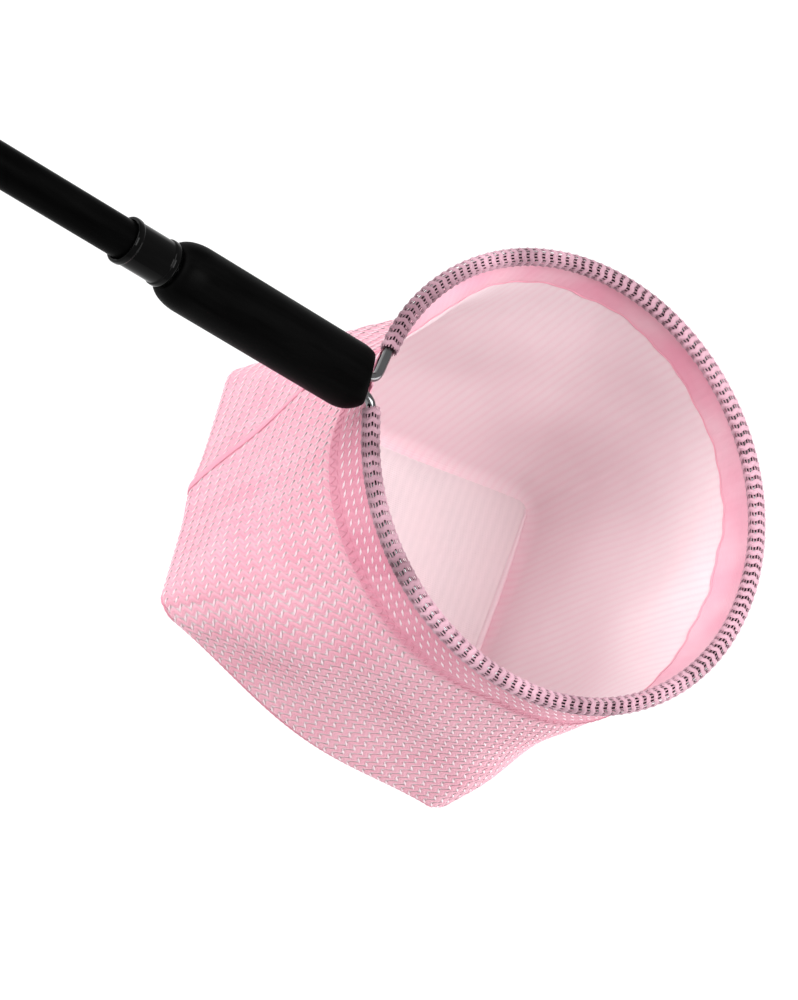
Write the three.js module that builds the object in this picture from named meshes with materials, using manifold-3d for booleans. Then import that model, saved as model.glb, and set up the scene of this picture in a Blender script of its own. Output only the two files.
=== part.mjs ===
// Hand fish net with a telescopic handle, in millimetres.
// The handle lies along X with its butt at -X, Z points up out of the net's mouth,
// and the origin is on the handle's axis at the middle of the grip.
import * as THREE from "three";
import { mergeVertices } from "three/addons/utils/BufferGeometryUtils.js";
import Module from "manifold-3d";

const wasm = await Module();
wasm.setup();

// Tip section, the innermost tube, and its friction bush
const tipOuter = 1.4;
const tipWall = 0.4;
const tipBushWall = 0.35;
const tipBushLength = 10;
const tipBushGap = 0.15;
const tipInset = 4;

// Middle section, its rolled mouth and its friction bush
const sectionWall = 0.35;
const sectionBushWall = 0.5;
const sectionBushLength = 10;
const sectionInset = 4;
const rolledLength = 4;
const rolledDraw = 0.25;
const flangeLength = 1;
const beadLength = 0.8;
const beadRise = 0.35;
const bushSlot = 0.8;

// Handle tube and the guide bush in its mouth
const handleLength = 180;
const handleWall = 0.7;
const slideGap = 0.2;
const endGap = 0.3;
const mouthBushLength = 12;
const roundSides = 24;

// Collar on the tube's mouth
const ferruleLength = 11;
const ferruleWall = 0.4;
const ferruleGap = 0.2;
const ferruleLip = 1.3;
const ferruleBead = 0.3;
const ferruleBeadLength = 1.4;

// Butt cap with its hanging hole
const capLength = 9;
const capLip = 0.6;
const capRound = 1.2;
const capSpigotLength = 12;
const tabLength = 15;
const tabWidth = 12.5;
const tabThickness = 4;
const hangHole = 3.4;

// Socket that carries the hoop
const socketLength = 53.5;
const socketOuter = 7;
const socketRear = 4.4;
const socketFront = 2.6;
const socketRoundRear = 6;
const socketRoundFront = 6;
const socketGap = 0.7;
const socketBevel = THREE.MathUtils.degToRad(35);
const tipSeatDepth = 24;
const tipSeatGap = 0.25;
const socketWeb = 5.5;
const legGap = 0.3;

// Hoop
const hoopRadius = 48.3;
const wireRadius = 1;
const legSpacing = 4;
const legFlare = 5.2;
const kneeOut = 0.6;
const kneeSpread = 1.1;
const hoopCant = THREE.MathUtils.degToRad(12);
const rimGap = 0.3;
const hoopSteps = 96;
const wireSides = 8;

// Hem sleeve round the wire, with the wire left bare beside the socket
const sleeveGap = 0.3;
const sleeveWall = 0.7;
const bareNear = 0.3;
const bareFar = 2.4;
const sleeveSteps = 60;
const sleeveSides = 8;

// Bag: round at the hoop, square with blunt corners at the base.
// Each corner of the base hangs a little off the square's own corner, along X and Y.
const bagDepth = 86;
const netWall = 0.8;
const netGap = 0.3;
const baseHalfDiagonal = 53;
const baseCorner = 5;
const nearCorner = [-7.7, 12.6];
const rightCorner = [-1.8, -4.9];
const farCorner = [3.2, -2.5];
const leftCorner = [-2.8, -1.5];
const nearBelly = 4.7;
const bandDepth = 12;
const bandWall = 0.6;
const threadRadius = 0.35;
const stitchWaves = 40;
const stitchSwing = 1.1;
const stitchRise = 1.8;
const seamRadius = 0.6;
const seamLead = 0.09;
const loopSteps = 64;
const wallSteps = 8;
const bandSteps = 2;

// Sizes that follow from the ones above
const sectionBore = tipOuter + tipBushGap + tipBushWall + tipBushGap;
const sectionOuter = sectionBore + sectionWall;
const handleBore = sectionOuter + slideGap + sectionBushWall + slideGap;
const handleOuter = handleBore + handleWall;
const handleMouth = handleLength / 2;
const handleButt = -handleLength / 2;
const ferruleBore = handleOuter + ferruleGap;
const ferruleOuter = ferruleBore + ferruleWall;
const ferruleFront = handleMouth + endGap + ferruleLip;
const ferruleRear = ferruleFront - ferruleLength;
const lipBore = sectionOuter + slideGap;
const capInner = handleButt + capSpigotLength;
const sectionRear = capInner + sectionInset;
const sectionFront = ferruleFront - endGap;
const rolledBore = tipOuter + slideGap;
const tipRear = sectionRear + tipInset;
const socketBack = ferruleFront + socketGap;
const socketNose = socketBack + socketLength;
const tipFront = socketBack + tipSeatDepth - endGap;
const legDepth = socketLength - tipSeatDepth - socketWeb;
const sleeveBore = wireRadius + sleeveGap;
const sleeveOuter = sleeveBore + sleeveWall;
const rimX = socketNose + rimGap + sleeveOuter;
const bagTop = sleeveOuter + netGap;

const black = new THREE.MeshStandardMaterial({ color: 0x0b0b0c, roughness: 0.42, metalness: 0 });
const chrome = new THREE.MeshStandardMaterial({ color: 0xd9dadd, roughness: 0.12, metalness: 1 });
const steel = new THREE.MeshStandardMaterial({ color: 0xc4c6ca, roughness: 0.25, metalness: 1 });
const brass = new THREE.MeshStandardMaterial({ color: 0xc9a75a, roughness: 0.35, metalness: 1 });
const nylon = new THREE.MeshStandardMaterial({ color: 0xe9e6de, roughness: 0.5, metalness: 0 });
const pink = new THREE.MeshStandardMaterial({ color: 0xe79db5, roughness: 0.75, metalness: 0 });
const rose = new THREE.MeshStandardMaterial({ color: 0xd9809c, roughness: 0.75, metalness: 0 });

const net = new THREE.Group();
net.name = "fish_net";
const head = new THREE.Group();
head.name = "hoop_and_bag";
head.position.set(rimX, 0, 0);
head.rotation.y = -hoopCant;
net.add(head);

function add(parent, name, geometry, material) {
  const mesh = new THREE.Mesh(geometry, material);
  mesh.name = name;
  parent.add(mesh);
  return mesh;
}

// Turns a closed profile of [x, radius] corners round the X axis: its outer side runs towards -X.
function turned(profile) {
  const points = profile.map(([x, r]) => new THREE.Vector2(r, x)).reverse();
  points.push(points[0].clone());
  return new THREE.LatheGeometry(points, roundSides).rotateZ(-Math.PI / 2);
}

// Corners of a quarter of an ellipse from (x0, r0) to (x1, r1), which starts along the radius.
function rounding(x0, r0, x1, r1, steps) {
  return Array.from({ length: steps + 1 }, (_, i) => {
    const a = (i / steps) * (Math.PI / 2);
    return [x0 + (x1 - x0) * (1 - Math.cos(a)), r0 + (r1 - r0) * Math.sin(a)];
  });
}

function toSolid(geometry) {
  const bare = geometry.index ? geometry.toNonIndexed() : geometry;
  const points = new THREE.BufferGeometry();
  points.setAttribute("position", bare.getAttribute("position"));
  const merged = mergeVertices(points, 1e-4);
  const vertProperties = merged.attributes.position.array;
  const triVerts = new Uint32Array(merged.index.array);
  return new wasm.Manifold(new wasm.Mesh({ numProp: 3, vertProperties, triVerts }));
}

function toGeometry(solid) {
  const mesh = solid.getMesh();
  const geometry = new THREE.BufferGeometry();
  geometry.setAttribute("position", new THREE.BufferAttribute(mesh.vertProperties, 3));
  geometry.setIndex(new THREE.BufferAttribute(mesh.triVerts, 1));
  geometry.computeVertexNormals();
  return geometry;
}

// A round tube or rod of one section along a curve.
function swept(curve, steps, shape) {
  const options = { steps, extrudePath: curve, bevelEnabled: false, curveSegments: 1 };
  return new THREE.ExtrudeGeometry(shape, options);
}

function disc(radius, sides) {
  const points = Array.from({ length: sides }, (_, i) => {
    const a = (i / sides) * 2 * Math.PI;
    return new THREE.Vector2(radius * Math.cos(a), radius * Math.sin(a));
  });
  return new THREE.Shape(points);
}

// Handle tube
const tubeProfile = [
  [handleButt, handleBore],
  [handleMouth, handleBore],
  [handleMouth, handleOuter],
  [handleButt, handleOuter],
];
add(net, "handle_tube", turned(tubeProfile), black);

// Collar: a thin shell with a rolled bead at each end and a lip that keeps the guide bush in
const beadFoot = ferruleOuter - ferruleBead;
const beadTop = ferruleOuter + ferruleBead;
const beadHalf = ferruleBeadLength / 2;
const ferruleProfile = [
  [ferruleRear, ferruleBore],
  [handleMouth + endGap, ferruleBore],
  [handleMouth + endGap, lipBore],
  [ferruleFront, lipBore],
  ...rounding(ferruleFront, beadFoot, ferruleFront - beadHalf, beadTop, 4),
  [ferruleFront - ferruleBeadLength, ferruleOuter],
  [ferruleRear + ferruleBeadLength, ferruleOuter],
  ...rounding(ferruleRear, beadFoot, ferruleRear + beadHalf, beadTop, 4).reverse(),
];
add(net, "ferrule", turned(ferruleProfile), chrome);

// Guide bush in the tube's mouth
const bushRear = handleMouth - mouthBushLength;
const mouthProfile = [
  [bushRear, lipBore],
  [handleMouth, lipBore],
  [handleMouth, handleBore - slideGap],
  [bushRear, handleBore - slideGap],
];
add(net, "mouth_bush", turned(mouthProfile), nylon);

// Butt cap: a plug in the tube, a rounded head and a flat tab with a hanging hole
const capOuter = handleOuter + capLip;
const capFace = handleButt - endGap;
const capRear = capFace - capLength;
const capProfile = [
  [capInner, 0],
  [capInner, handleBore - slideGap],
  [capFace, handleBore - slideGap],
  ...rounding(capFace, capOuter - capRound, capFace - capRound, capOuter, 4),
  ...rounding(capRear, capOuter - capRound, capRear + capRound, capOuter, 4).reverse(),
  [capRear, 0],
];
const tabShape = new THREE.Shape();
const tabFlank = tabLength - tabWidth / 2;
tabShape.moveTo(capRear + capLength / 2, -handleOuter);
tabShape.lineTo(capRear + capLength / 2, handleOuter);
tabShape.lineTo(capRear - tabFlank, tabWidth / 2);
tabShape.absarc(capRear - tabFlank, 0, tabWidth / 2, Math.PI / 2, (3 * Math.PI) / 2, false);
const hole = new THREE.Path();
hole.absarc(capRear - tabFlank, 0, hangHole, 0, 2 * Math.PI, false);
tabShape.holes.push(hole);
const tabOptions = { depth: tabThickness, bevelEnabled: false, curveSegments: 16 };
const tab = new THREE.ExtrudeGeometry(tabShape, tabOptions);
tab.translate(0, 0, -tabThickness / 2);
const capBody = toSolid(turned(capProfile));
add(net, "end_cap", toGeometry(capBody.add(toSolid(tab))), black);

// A telescopic section: its inner end has a flange and a bead that keep the friction bush between them
function sectionProfile(rear, front, outer, bore, bushLength, mouth) {
  const bushStart = rear + flangeLength + endGap;
  const bushEnd = bushStart + bushLength;
  const bead = bushEnd + endGap;
  return [
    [rear, bore],
    ...mouth,
    [bead + beadLength, outer],
    [bead + beadLength * 0.7, outer + beadRise],
    [bead, outer + beadRise],
    [bead, outer],
    [rear + flangeLength, outer],
    [rear + flangeLength, outer + beadRise],
    [rear, outer + beadRise],
  ];
}

// A split sleeve that grips the bore outside it
function splitBush(rear, length, inner, outer) {
  const half = bushSlot / 2;
  const a = Math.asin(half / outer);
  const b = Math.asin(half / inner);
  const shape = new THREE.Shape();
  shape.absarc(0, 0, outer, a, 2 * Math.PI - a, false);
  shape.absarc(0, 0, inner, 2 * Math.PI - b, b, true);
  const options = { depth: length, bevelEnabled: false, curveSegments: roundSides / 2 };
  const sleeve = new THREE.ExtrudeGeometry(shape, options);
  return sleeve.rotateY(Math.PI / 2).translate(rear, 0, 0);
}

// Middle section with its mouth rolled in round the tip section
const sectionMouth = [
  [sectionFront - rolledLength, sectionBore],
  [sectionFront - rolledLength + endGap, rolledBore],
  [sectionFront, rolledBore],
  [sectionFront, sectionOuter - rolledDraw],
  [sectionFront - rolledDraw * 3, sectionOuter],
];
const middle = sectionProfile(
  sectionRear, sectionFront, sectionOuter, sectionBore, sectionBushLength, sectionMouth,
);
add(net, "section_tube", turned(middle), steel);
const sectionBushRear = sectionRear + flangeLength + endGap;
const sectionBush = splitBush(
  sectionBushRear, sectionBushLength, sectionOuter + slideGap, handleBore - slideGap,
);
add(net, "section_bush", sectionBush, brass);

// Tip section, whose far end is fixed in the socket
const tipMouth = [
  [tipFront, tipOuter - tipWall],
  [tipFront, tipOuter],
];
const tip = sectionProfile(tipRear, tipFront, tipOuter, tipOuter - tipWall, tipBushLength, tipMouth);
add(net, "tip_tube", turned(tip), steel);
const tipBushRear = tipRear + flangeLength + endGap;
const tipBush = splitBush(tipBushRear, tipBushLength, tipOuter + tipBushGap, sectionBore - tipBushGap);
add(net, "tip_bush", tipBush, brass);

// Socket: a rounded moulding with a seat for the tip section behind and a slot for the hoop's legs
// in front, cut off slantwise over the slot
const tipSeat = tipOuter + tipSeatGap;
const socketProfile = [
  [socketBack + tipSeatDepth, 0],
  [socketBack + tipSeatDepth, tipSeat],
  [socketBack, tipSeat],
  ...rounding(socketBack, socketRear, socketBack + socketRoundRear, socketOuter, 7),
  ...rounding(socketNose, socketFront, socketNose - socketRoundFront, socketOuter, 7).reverse(),
  [socketNose, 0],
];
const legSlot = new THREE.Shape();
const slotRadius = wireRadius + legGap;
const slotHalf = legSpacing / 2 + legGap;
legSlot.absarc(0, slotHalf, slotRadius, 0, Math.PI, false);
legSlot.absarc(0, -slotHalf, slotRadius, Math.PI, 2 * Math.PI, false);
const slotOptions = { depth: legDepth + 1, bevelEnabled: false, curveSegments: 10 };
const slot = new THREE.ExtrudeGeometry(legSlot, slotOptions);
slot.rotateY(Math.PI / 2).translate(socketNose - legDepth, 0, 0);
const bevelWay = [-Math.cos(socketBevel), 0, -Math.sin(socketBevel)];
const socketBody = toSolid(turned(socketProfile.reverse())).trimByPlane(bevelWay, bevelWay[0] * socketNose);
const socketSolid = socketBody.subtract(toSolid(slot));
add(net, "net_socket", toGeometry(socketSolid), black);

// Hoop: one wire from the end of one leg, round the ring, to the end of the other leg.
// In the head's own frame the rim by the socket is the origin and the ring's centre is at +X.
const legEnd = rimX - socketNose + legDepth - endGap;
const legWay = new THREE.Vector3(-Math.cos(hoopCant), 0, Math.sin(hoopCant));
function legPoint(out, y) {
  return legWay.clone().multiplyScalar(out).setY(y);
}
function ringPoint(a) {
  return new THREE.Vector3(hoopRadius * (1 - Math.cos(a)), hoopRadius * Math.sin(a), 0);
}
const legY = legSpacing / 2;
const bendStart = Math.asin((legY + legFlare) / hoopRadius);
const ringCount = 60;
const ring = Array.from({ length: ringCount + 1 }, (_, i) => {
  return ringPoint(bendStart + (i / ringCount) * 2 * (Math.PI - bendStart));
});
const bend = [
  legPoint(legEnd, legY),
  legPoint(legEnd * 0.6, legY),
  legPoint(sleeveOuter + 2, legY),
  legPoint(sleeveOuter + rimGap, legY + kneeSpread / 10),
  legPoint(kneeOut, legY + kneeSpread),
];
const otherBend = bend.map((p) => new THREE.Vector3(p.x, -p.y, p.z)).reverse();
const hoopCurve = new THREE.CatmullRomCurve3([...bend, ...ring, ...otherBend], false, "centripetal");
add(head, "hoop_wire", swept(hoopCurve, hoopSteps, disc(wireRadius, wireSides)), steel);

// Hem sleeve: a tube of net round the wire, open at both ends beside the socket
const sleeveNear = bendStart + bareNear / hoopRadius;
const sleeveFar = bendStart + bareFar / hoopRadius;
const sleevePath = Array.from({ length: sleeveSteps + 1 }, (_, i) => {
  return ringPoint(sleeveFar + (i / sleeveSteps) * (2 * Math.PI - sleeveNear - sleeveFar));
});
const sleeveShape = disc(sleeveOuter, sleeveSides);
sleeveShape.holes.push(disc(sleeveBore, sleeveSides));
const sleeveCurve = new THREE.CatmullRomCurve3(sleevePath, false, "centripetal");
add(head, "hem_sleeve", swept(sleeveCurve, sleeveSteps, sleeveShape), rose);

// How far the base hangs off its square at a turn: even steps from corner to corner
const corners = [nearCorner, rightCorner, farCorner, leftCorner].map(([x, y]) => new THREE.Vector2(x, y));
function cornerShift(turn) {
  const place = (turn * 4 + 3.5) % 4;
  const first = Math.floor(place);
  return corners[first].clone().lerp(corners[(first + 1) % 4], place - first);
}

// A point of the bag's middle surface moved out by grow: turn goes once round from the handle side,
// and drop goes from 0 at the hoop to 1 at the base. A level is a square with rounded corners, whose
// corners shrink from the hoop's whole circle to the base's blunt corners. The corners move to their own
// places with the depth, and the side between the near and the right corner bellies out.
function netPoint(turn, drop, grow) {
  const quarter = Math.floor(turn * 4);
  const t = turn * 4 - quarter - 0.5;
  const reach = drop * (baseHalfDiagonal - baseCorner);
  const radius = (1 - drop) * hoopRadius + drop * baseCorner;
  const arc = (Math.PI / 2) * radius;
  const side = Math.SQRT2 * reach;
  const half = (0.5 * arc) / (arc + side);
  const corner = Math.PI + (quarter + 0.5) * (Math.PI / 2);
  const on = Math.min(Math.abs(t), half) / half;
  const way = corner + Math.sign(t) * on * (Math.PI / 4);
  const along = half < 0.5 ? Math.max(0, (Math.abs(t) - half) / (0.5 - half)) * (side / 2) : 0;
  const turnedWay = corner + Math.sign(t) * ((3 * Math.PI) / 4);
  const nearSide = turn > 0.125 && turn < 0.375;
  const belly = nearSide ? nearBelly * Math.sin(Math.PI * t) ** 2 * drop ** 2 : 0;
  const out = radius + belly + grow;
  const x = reach * Math.cos(corner) + out * Math.cos(way) + along * Math.cos(turnedWay);
  const y = reach * Math.sin(corner) + out * Math.sin(way) + along * Math.sin(turnedWay);
  const shift = cornerShift(turn);
  const z = -bagTop - drop * (bagDepth - bagTop);
  return new THREE.Vector3(hoopRadius + x + drop * shift.x, y + drop * shift.y, z);
}

// A closed skin of the bag between two depths, as thick as outer - inner
function netSkin(dropFrom, dropTo, inner, outer, steps) {
  const points = [];
  for (const grow of [outer, inner]) {
    for (let j = 0; j <= steps; j++) {
      for (let i = 0; i < loopSteps; i++) {
        const p = netPoint(i / loopSteps, dropFrom + (j / steps) * (dropTo - dropFrom), grow);
        points.push(p.x, p.y, p.z);
      }
    }
  }
  const row = (side, j, i) => (side * (steps + 1) + j) * loopSteps + (i % loopSteps);
  const index = [];
  const quad = (a, b, c, d) => index.push(a, b, c, a, c, d);
  for (let i = 0; i < loopSteps; i++) {
    for (let j = 0; j < steps; j++) {
      quad(row(0, j, i), row(0, j + 1, i), row(0, j + 1, i + 1), row(0, j, i + 1));
      quad(row(1, j, i), row(1, j, i + 1), row(1, j + 1, i + 1), row(1, j + 1, i));
    }
    quad(row(0, 0, i), row(0, 0, i + 1), row(1, 0, i + 1), row(1, 0, i));
    quad(row(0, steps, i), row(1, steps, i), row(1, steps, i + 1), row(0, steps, i + 1));
  }
  const geometry = new THREE.BufferGeometry();
  geometry.setAttribute("position", new THREE.Float32BufferAttribute(points, 3));
  geometry.setIndex(index);
  geometry.computeVertexNormals();
  return geometry;
}
add(head, "net_wall", netSkin(0, 1, -netWall / 2, netWall / 2, wallSteps), pink);

// Hem band: the turned-down edge of the net, outside the wall
const bandDrop = bandDepth / (bagDepth - bagTop);
const bandInner = netWall / 2 + netGap;
const bandOuter = bandInner + bandWall;
add(head, "hem_band", netSkin(0, bandDrop, bandInner, bandOuter, bandSteps), rose);

// Thread that zigzags round the band's lower edge
const stitchOut = bandOuter + netGap + threadRadius;
const stitchDrop = (bandDepth - stitchRise) / (bagDepth - bagTop);
const swingDrop = stitchSwing / (bagDepth - bagTop);
const stitchCount = stitchWaves * 4;
const stitch = Array.from({ length: stitchCount }, (_, i) => {
  const swing = Math.sin((i / stitchCount) * stitchWaves * 2 * Math.PI);
  return netPoint(i / stitchCount, stitchDrop + swing * swingDrop, stitchOut);
});
const stitchCurve = new THREE.CatmullRomCurve3(stitch, true, "centripetal");
add(head, "hem_stitch", new THREE.TubeGeometry(stitchCurve, stitchCount, threadRadius, 3, true), rose);

// Base: a square panel inside the foot of the wall
const baseLoop = Array.from({ length: loopSteps }, (_, i) => {
  const p = netPoint(i / loopSteps, 1, -netWall / 2 - netGap);
  return new THREE.Vector2(p.x, p.y);
});
const base = new THREE.ExtrudeGeometry(new THREE.Shape(baseLoop), { depth: netWall, bevelEnabled: false });
add(head, "net_base", base.translate(0, 0, -bagDepth), pink);

// Seam round the base, under the foot of the wall
const seamLoop = Array.from({ length: loopSteps }, (_, i) => {
  return netPoint(i / loopSteps, 1, 0).setZ(-bagDepth - netGap - seamRadius);
});
const seamCurve = new THREE.CatmullRomCurve3(seamLoop, true, "centripetal");
const seam = new THREE.TubeGeometry(seamCurve, loopSteps + loopSteps / 4, seamRadius, 5, true);
add(head, "base_seam", seam, rose);

// Seam down the side under the socket, from the band to the base: it starts ahead of the middle of the
// side by seamLead of a turn and drifts back to it
const sideFrom = bandDrop + seamRadius / (bagDepth - bagTop);
const sideOut = netWall / 2 + netGap + seamRadius;
const sideSteps = 16;
const sideLine = Array.from({ length: sideSteps + 1 }, (_, i) => {
  const drop = sideFrom + (i / sideSteps) * (1 - sideFrom);
  return netPoint(1 - seamLead * (1 - drop), drop, sideOut);
});
const sideCurve = new THREE.CatmullRomCurve3(sideLine, false, "centripetal");
add(head, "side_seam", swept(sideCurve, 2 * sideSteps, disc(seamRadius, 6)), rose);

export default net;
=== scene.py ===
"""Looks of a hand fish net with a telescopic handle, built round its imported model.

Shapes are worked out in millimetres in the part's own frame and go into the meshes in metres.
The handle lies along X with its butt at -X, Z points up, and the hoop's plane is tilted about Y.
The bag's knit is strands: every wale is a closed zigzag tube that runs over the bag's curved surface.
"""

import logging
import math
from dataclasses import dataclass, field
from enum import Enum

import bpy
import numpy as np
from mathutils import Matrix


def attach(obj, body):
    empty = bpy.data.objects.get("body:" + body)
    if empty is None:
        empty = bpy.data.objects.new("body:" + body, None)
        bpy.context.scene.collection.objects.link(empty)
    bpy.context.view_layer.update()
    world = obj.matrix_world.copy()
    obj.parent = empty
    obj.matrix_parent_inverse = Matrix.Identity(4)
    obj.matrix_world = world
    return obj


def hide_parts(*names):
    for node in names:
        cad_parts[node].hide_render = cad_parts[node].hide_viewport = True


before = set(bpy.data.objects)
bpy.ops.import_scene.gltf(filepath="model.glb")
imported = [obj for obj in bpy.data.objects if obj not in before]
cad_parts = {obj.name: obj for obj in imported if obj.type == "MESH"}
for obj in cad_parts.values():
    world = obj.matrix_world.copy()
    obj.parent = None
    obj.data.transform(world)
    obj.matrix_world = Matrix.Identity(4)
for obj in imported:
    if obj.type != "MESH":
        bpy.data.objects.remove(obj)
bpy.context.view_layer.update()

MM = 0.001
TURN = 2 * math.pi
PLACE_MAP = "OFBake"
YARN = "yarn"
UP = np.array([0.0, 0.0, 1.0])

# The middle of a noise's values, and a Mix node's colour sockets and colour result
NOISE_MIDDLE = (0.3, 0.7)
MIX_COLOURS = (6, 7)
MIX_RESULT = 2

# The most of a side that a rounding takes, and how far past its end the guard point sits
SIDE_SHARE = 0.42
GUARD = 1.15

# A shell's margin at each edge as a share of its length, and a strand's share of its strip in the map
EDGE_MARGIN = 0.003
STRIP_SHARE, STRIP_MARGIN = 0.96, 0.02

log = logging.getLogger("fish_net")


class Body(Enum):
    """The moving bodies that new pieces ride on."""

    HANDLE = "handle"
    SECTION = "section"
    HEAD = "head"


class Slot(Enum):
    """The record's material slots, which new pieces are passed but nothing reads."""

    LACQUER = "black_lacquer"
    MOULDING = "black_moulding"
    COLLAR = "bright_collar"
    STEEL = "bright_steel"
    WIRE = "wire_steel"
    NET = "net_pink"
    HEM = "net_hem"
    THREAD = "net_thread"


class Ends(Enum):
    """How a grid of points is closed along its rows."""

    LOOP = "loop"
    CAPPED = "capped"
    STRIP = "strip"


# Finishes


class Nodes:
    """A material's node tree with short ways to add to it."""

    def __init__(self, name: str) -> None:
        """Starts a material that holds one Principled shader.

        Args:
            name: the material's name.
        """
        self.material = bpy.data.materials.new(name)
        self.material.use_nodes = True
        self.tree = self.material.node_tree
        self.tree.nodes.clear()
        self.output = self.tree.nodes.new("ShaderNodeOutputMaterial")
        self.shader = self.add("ShaderNodeBsdfPrincipled")
        self.join(self.shader.outputs["BSDF"], self.output.inputs["Surface"])

    def add(self, kind: str, **settings: object) -> bpy.types.Node:
        """Adds a node.

        Args:
            kind: the node's type name.
            settings: its properties.

        Returns:
            The new node.
        """
        node = self.tree.nodes.new(kind)
        for key, value in settings.items():
            setattr(node, key, value)
        return node

    def join(self, start: bpy.types.NodeSocket, end: bpy.types.NodeSocket) -> None:
        """Links two sockets."""
        self.tree.links.new(start, end)

    def set(self, **values: object) -> None:
        """Sets the shader's own sockets, with underscores for the spaces in their names."""
        for key, value in values.items():
            self.shader.inputs[key.replace("_", " ")].default_value = value

    def place(self, stretch: tuple[float, float, float] = (1, 1, 1)) -> bpy.types.NodeSocket:
        """Object coordinates, stretched.

        Args:
            stretch: the factor on each axis.

        Returns:
            The socket that gives the coordinates.
        """
        coordinates = self.add("ShaderNodeTexCoord")
        mapping = self.add("ShaderNodeMapping")
        mapping.inputs["Scale"].default_value = stretch
        self.join(coordinates.outputs["Object"], mapping.inputs["Vector"])
        return mapping.outputs["Vector"]

    def noise(self, where: bpy.types.NodeSocket, scale: float, detail: float) -> bpy.types.NodeSocket:
        """A noise value.

        Args:
            where: the coordinates it reads.
            scale: features to a metre.
            detail: octaves.

        Returns:
            The socket that gives the value, about a half on average.
        """
        node = self.add("ShaderNodeTexNoise")
        node.inputs["Scale"].default_value = scale
        node.inputs["Detail"].default_value = detail
        self.join(where, node.inputs["Vector"])
        return node.outputs["Fac"]

    def ranged(self, value: bpy.types.NodeSocket, low: float, high: float) -> bpy.types.NodeSocket:
        """Spreads the middle of a noise over a range.

        Args:
            value: the noise.
            low: the result at the middle's lower end.
            high: the result at its upper end.

        Returns:
            The socket that gives the ranged value.
        """
        node = self.add("ShaderNodeMapRange")
        names = ("From Min", "From Max", "To Min", "To Max")
        for key, number in zip(names, (*NOISE_MIDDLE, low, high)):
            node.inputs[key].default_value = number
        self.join(value, node.inputs["Value"])
        return node.outputs["Result"]

    def blended(self, share: bpy.types.NodeSocket, first: object, second: object) -> bpy.types.NodeSocket:
        """A mix of two colours.

        Args:
            share: 0 gives the first and 1 the second.
            first: a colour or a socket.
            second: a colour or a socket.

        Returns:
            The socket that gives the colour.
        """
        node = self.add("ShaderNodeMix", data_type="RGBA")
        self.join(share, node.inputs["Factor"])
        for number, value in zip(MIX_COLOURS, (first, second)):
            socket = node.inputs[number]
            if isinstance(value, bpy.types.NodeSocket):
                self.join(value, socket)
            else:
                socket.default_value = (*value, 1.0)
        return node.outputs[MIX_RESULT]

    def bump(self, height: bpy.types.NodeSocket, distance: float, strength: float) -> None:
        """Raises the surface.

        Args:
            height: the pattern.
            distance: its depth in metres.
            strength: how much of it shows.
        """
        node = self.add("ShaderNodeBump")
        node.inputs["Distance"].default_value = distance
        node.inputs["Strength"].default_value = strength
        self.join(height, node.inputs["Height"])
        self.join(node.outputs["Normal"], self.shader.inputs["Normal"])


def linear(red: int, green: int, blue: int) -> tuple[float, float, float]:
    """Turns a colour of 0 to 255 steps into the shader's linear values.

    Args:
        red: first value.
        green: second value.
        blue: third value.

    Returns:
        Linear red, green and blue: a power of 2.4 above a short straight start.
    """
    steps = np.array([red, green, blue]) / 255
    values = np.where(steps <= 0.04045, steps / 12.92, ((steps + 0.055) / 1.055) ** 2.4)
    return tuple(float(v) for v in values)


@dataclass(frozen=True)
class Coating:
    """A black or coloured coat: a base tone with fine grain and marks along the length."""

    name: str
    tone: tuple[int, int, int]
    worn_and_painted_shade: tuple[int, int, int]
    shine: tuple[float, float]
    grain: float
    gloss: float
    stretch: tuple[float, float, float] = (0.12, 1, 1)
    marks: float = 420
    grains: float = 2600
    relief: float = 0.5

    def material(self) -> bpy.types.Material:
        """Makes the coat.

        Returns:
            The material, whose tone and roughness follow a stretched noise, with a fine grain.
        """
        n = Nodes(self.name)
        along = n.noise(n.place(self.stretch), self.marks, 4)
        grain = n.noise(n.place(), self.grains, 2)
        tone = n.blended(n.ranged(along, 0, 1), linear(*self.tone), linear(*self.worn_and_painted_shade))
        n.join(tone, n.shader.inputs["Base Color"])
        n.join(n.ranged(along, *self.shine), n.shader.inputs["Roughness"])
        n.bump(grain, self.grain, self.relief)
        n.set(Specular_IOR_Level=self.gloss)
        return n.material


@dataclass(frozen=True)
class Metal:
    """A drawn or turned metal: fine marks that run one way, and slow tarnish."""

    name: str
    tone: tuple[float, float, float]
    dull: tuple[float, float, float]
    shine: tuple[float, float]
    stretch: tuple[float, float, float]
    depth: float
    marks: float = 1500
    clouds: float = 160
    relief: float = 0.35

    def material(self) -> bpy.types.Material:
        """Makes the metal.

        Returns:
            The material, whose marks are a noise stretched along the drawing direction.
        """
        n = Nodes(self.name)
        marks = n.noise(n.place(self.stretch), self.marks, 4)
        tarnish = n.noise(n.place(), self.clouds, 3)
        tone = n.blended(n.ranged(tarnish, 0, 1), self.tone, self.dull)
        n.join(tone, n.shader.inputs["Base Color"])
        n.join(n.ranged(marks, *self.shine), n.shader.inputs["Roughness"])
        n.bump(marks, self.depth, self.relief)
        n.set(Metallic=1.0)
        return n.material


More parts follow.
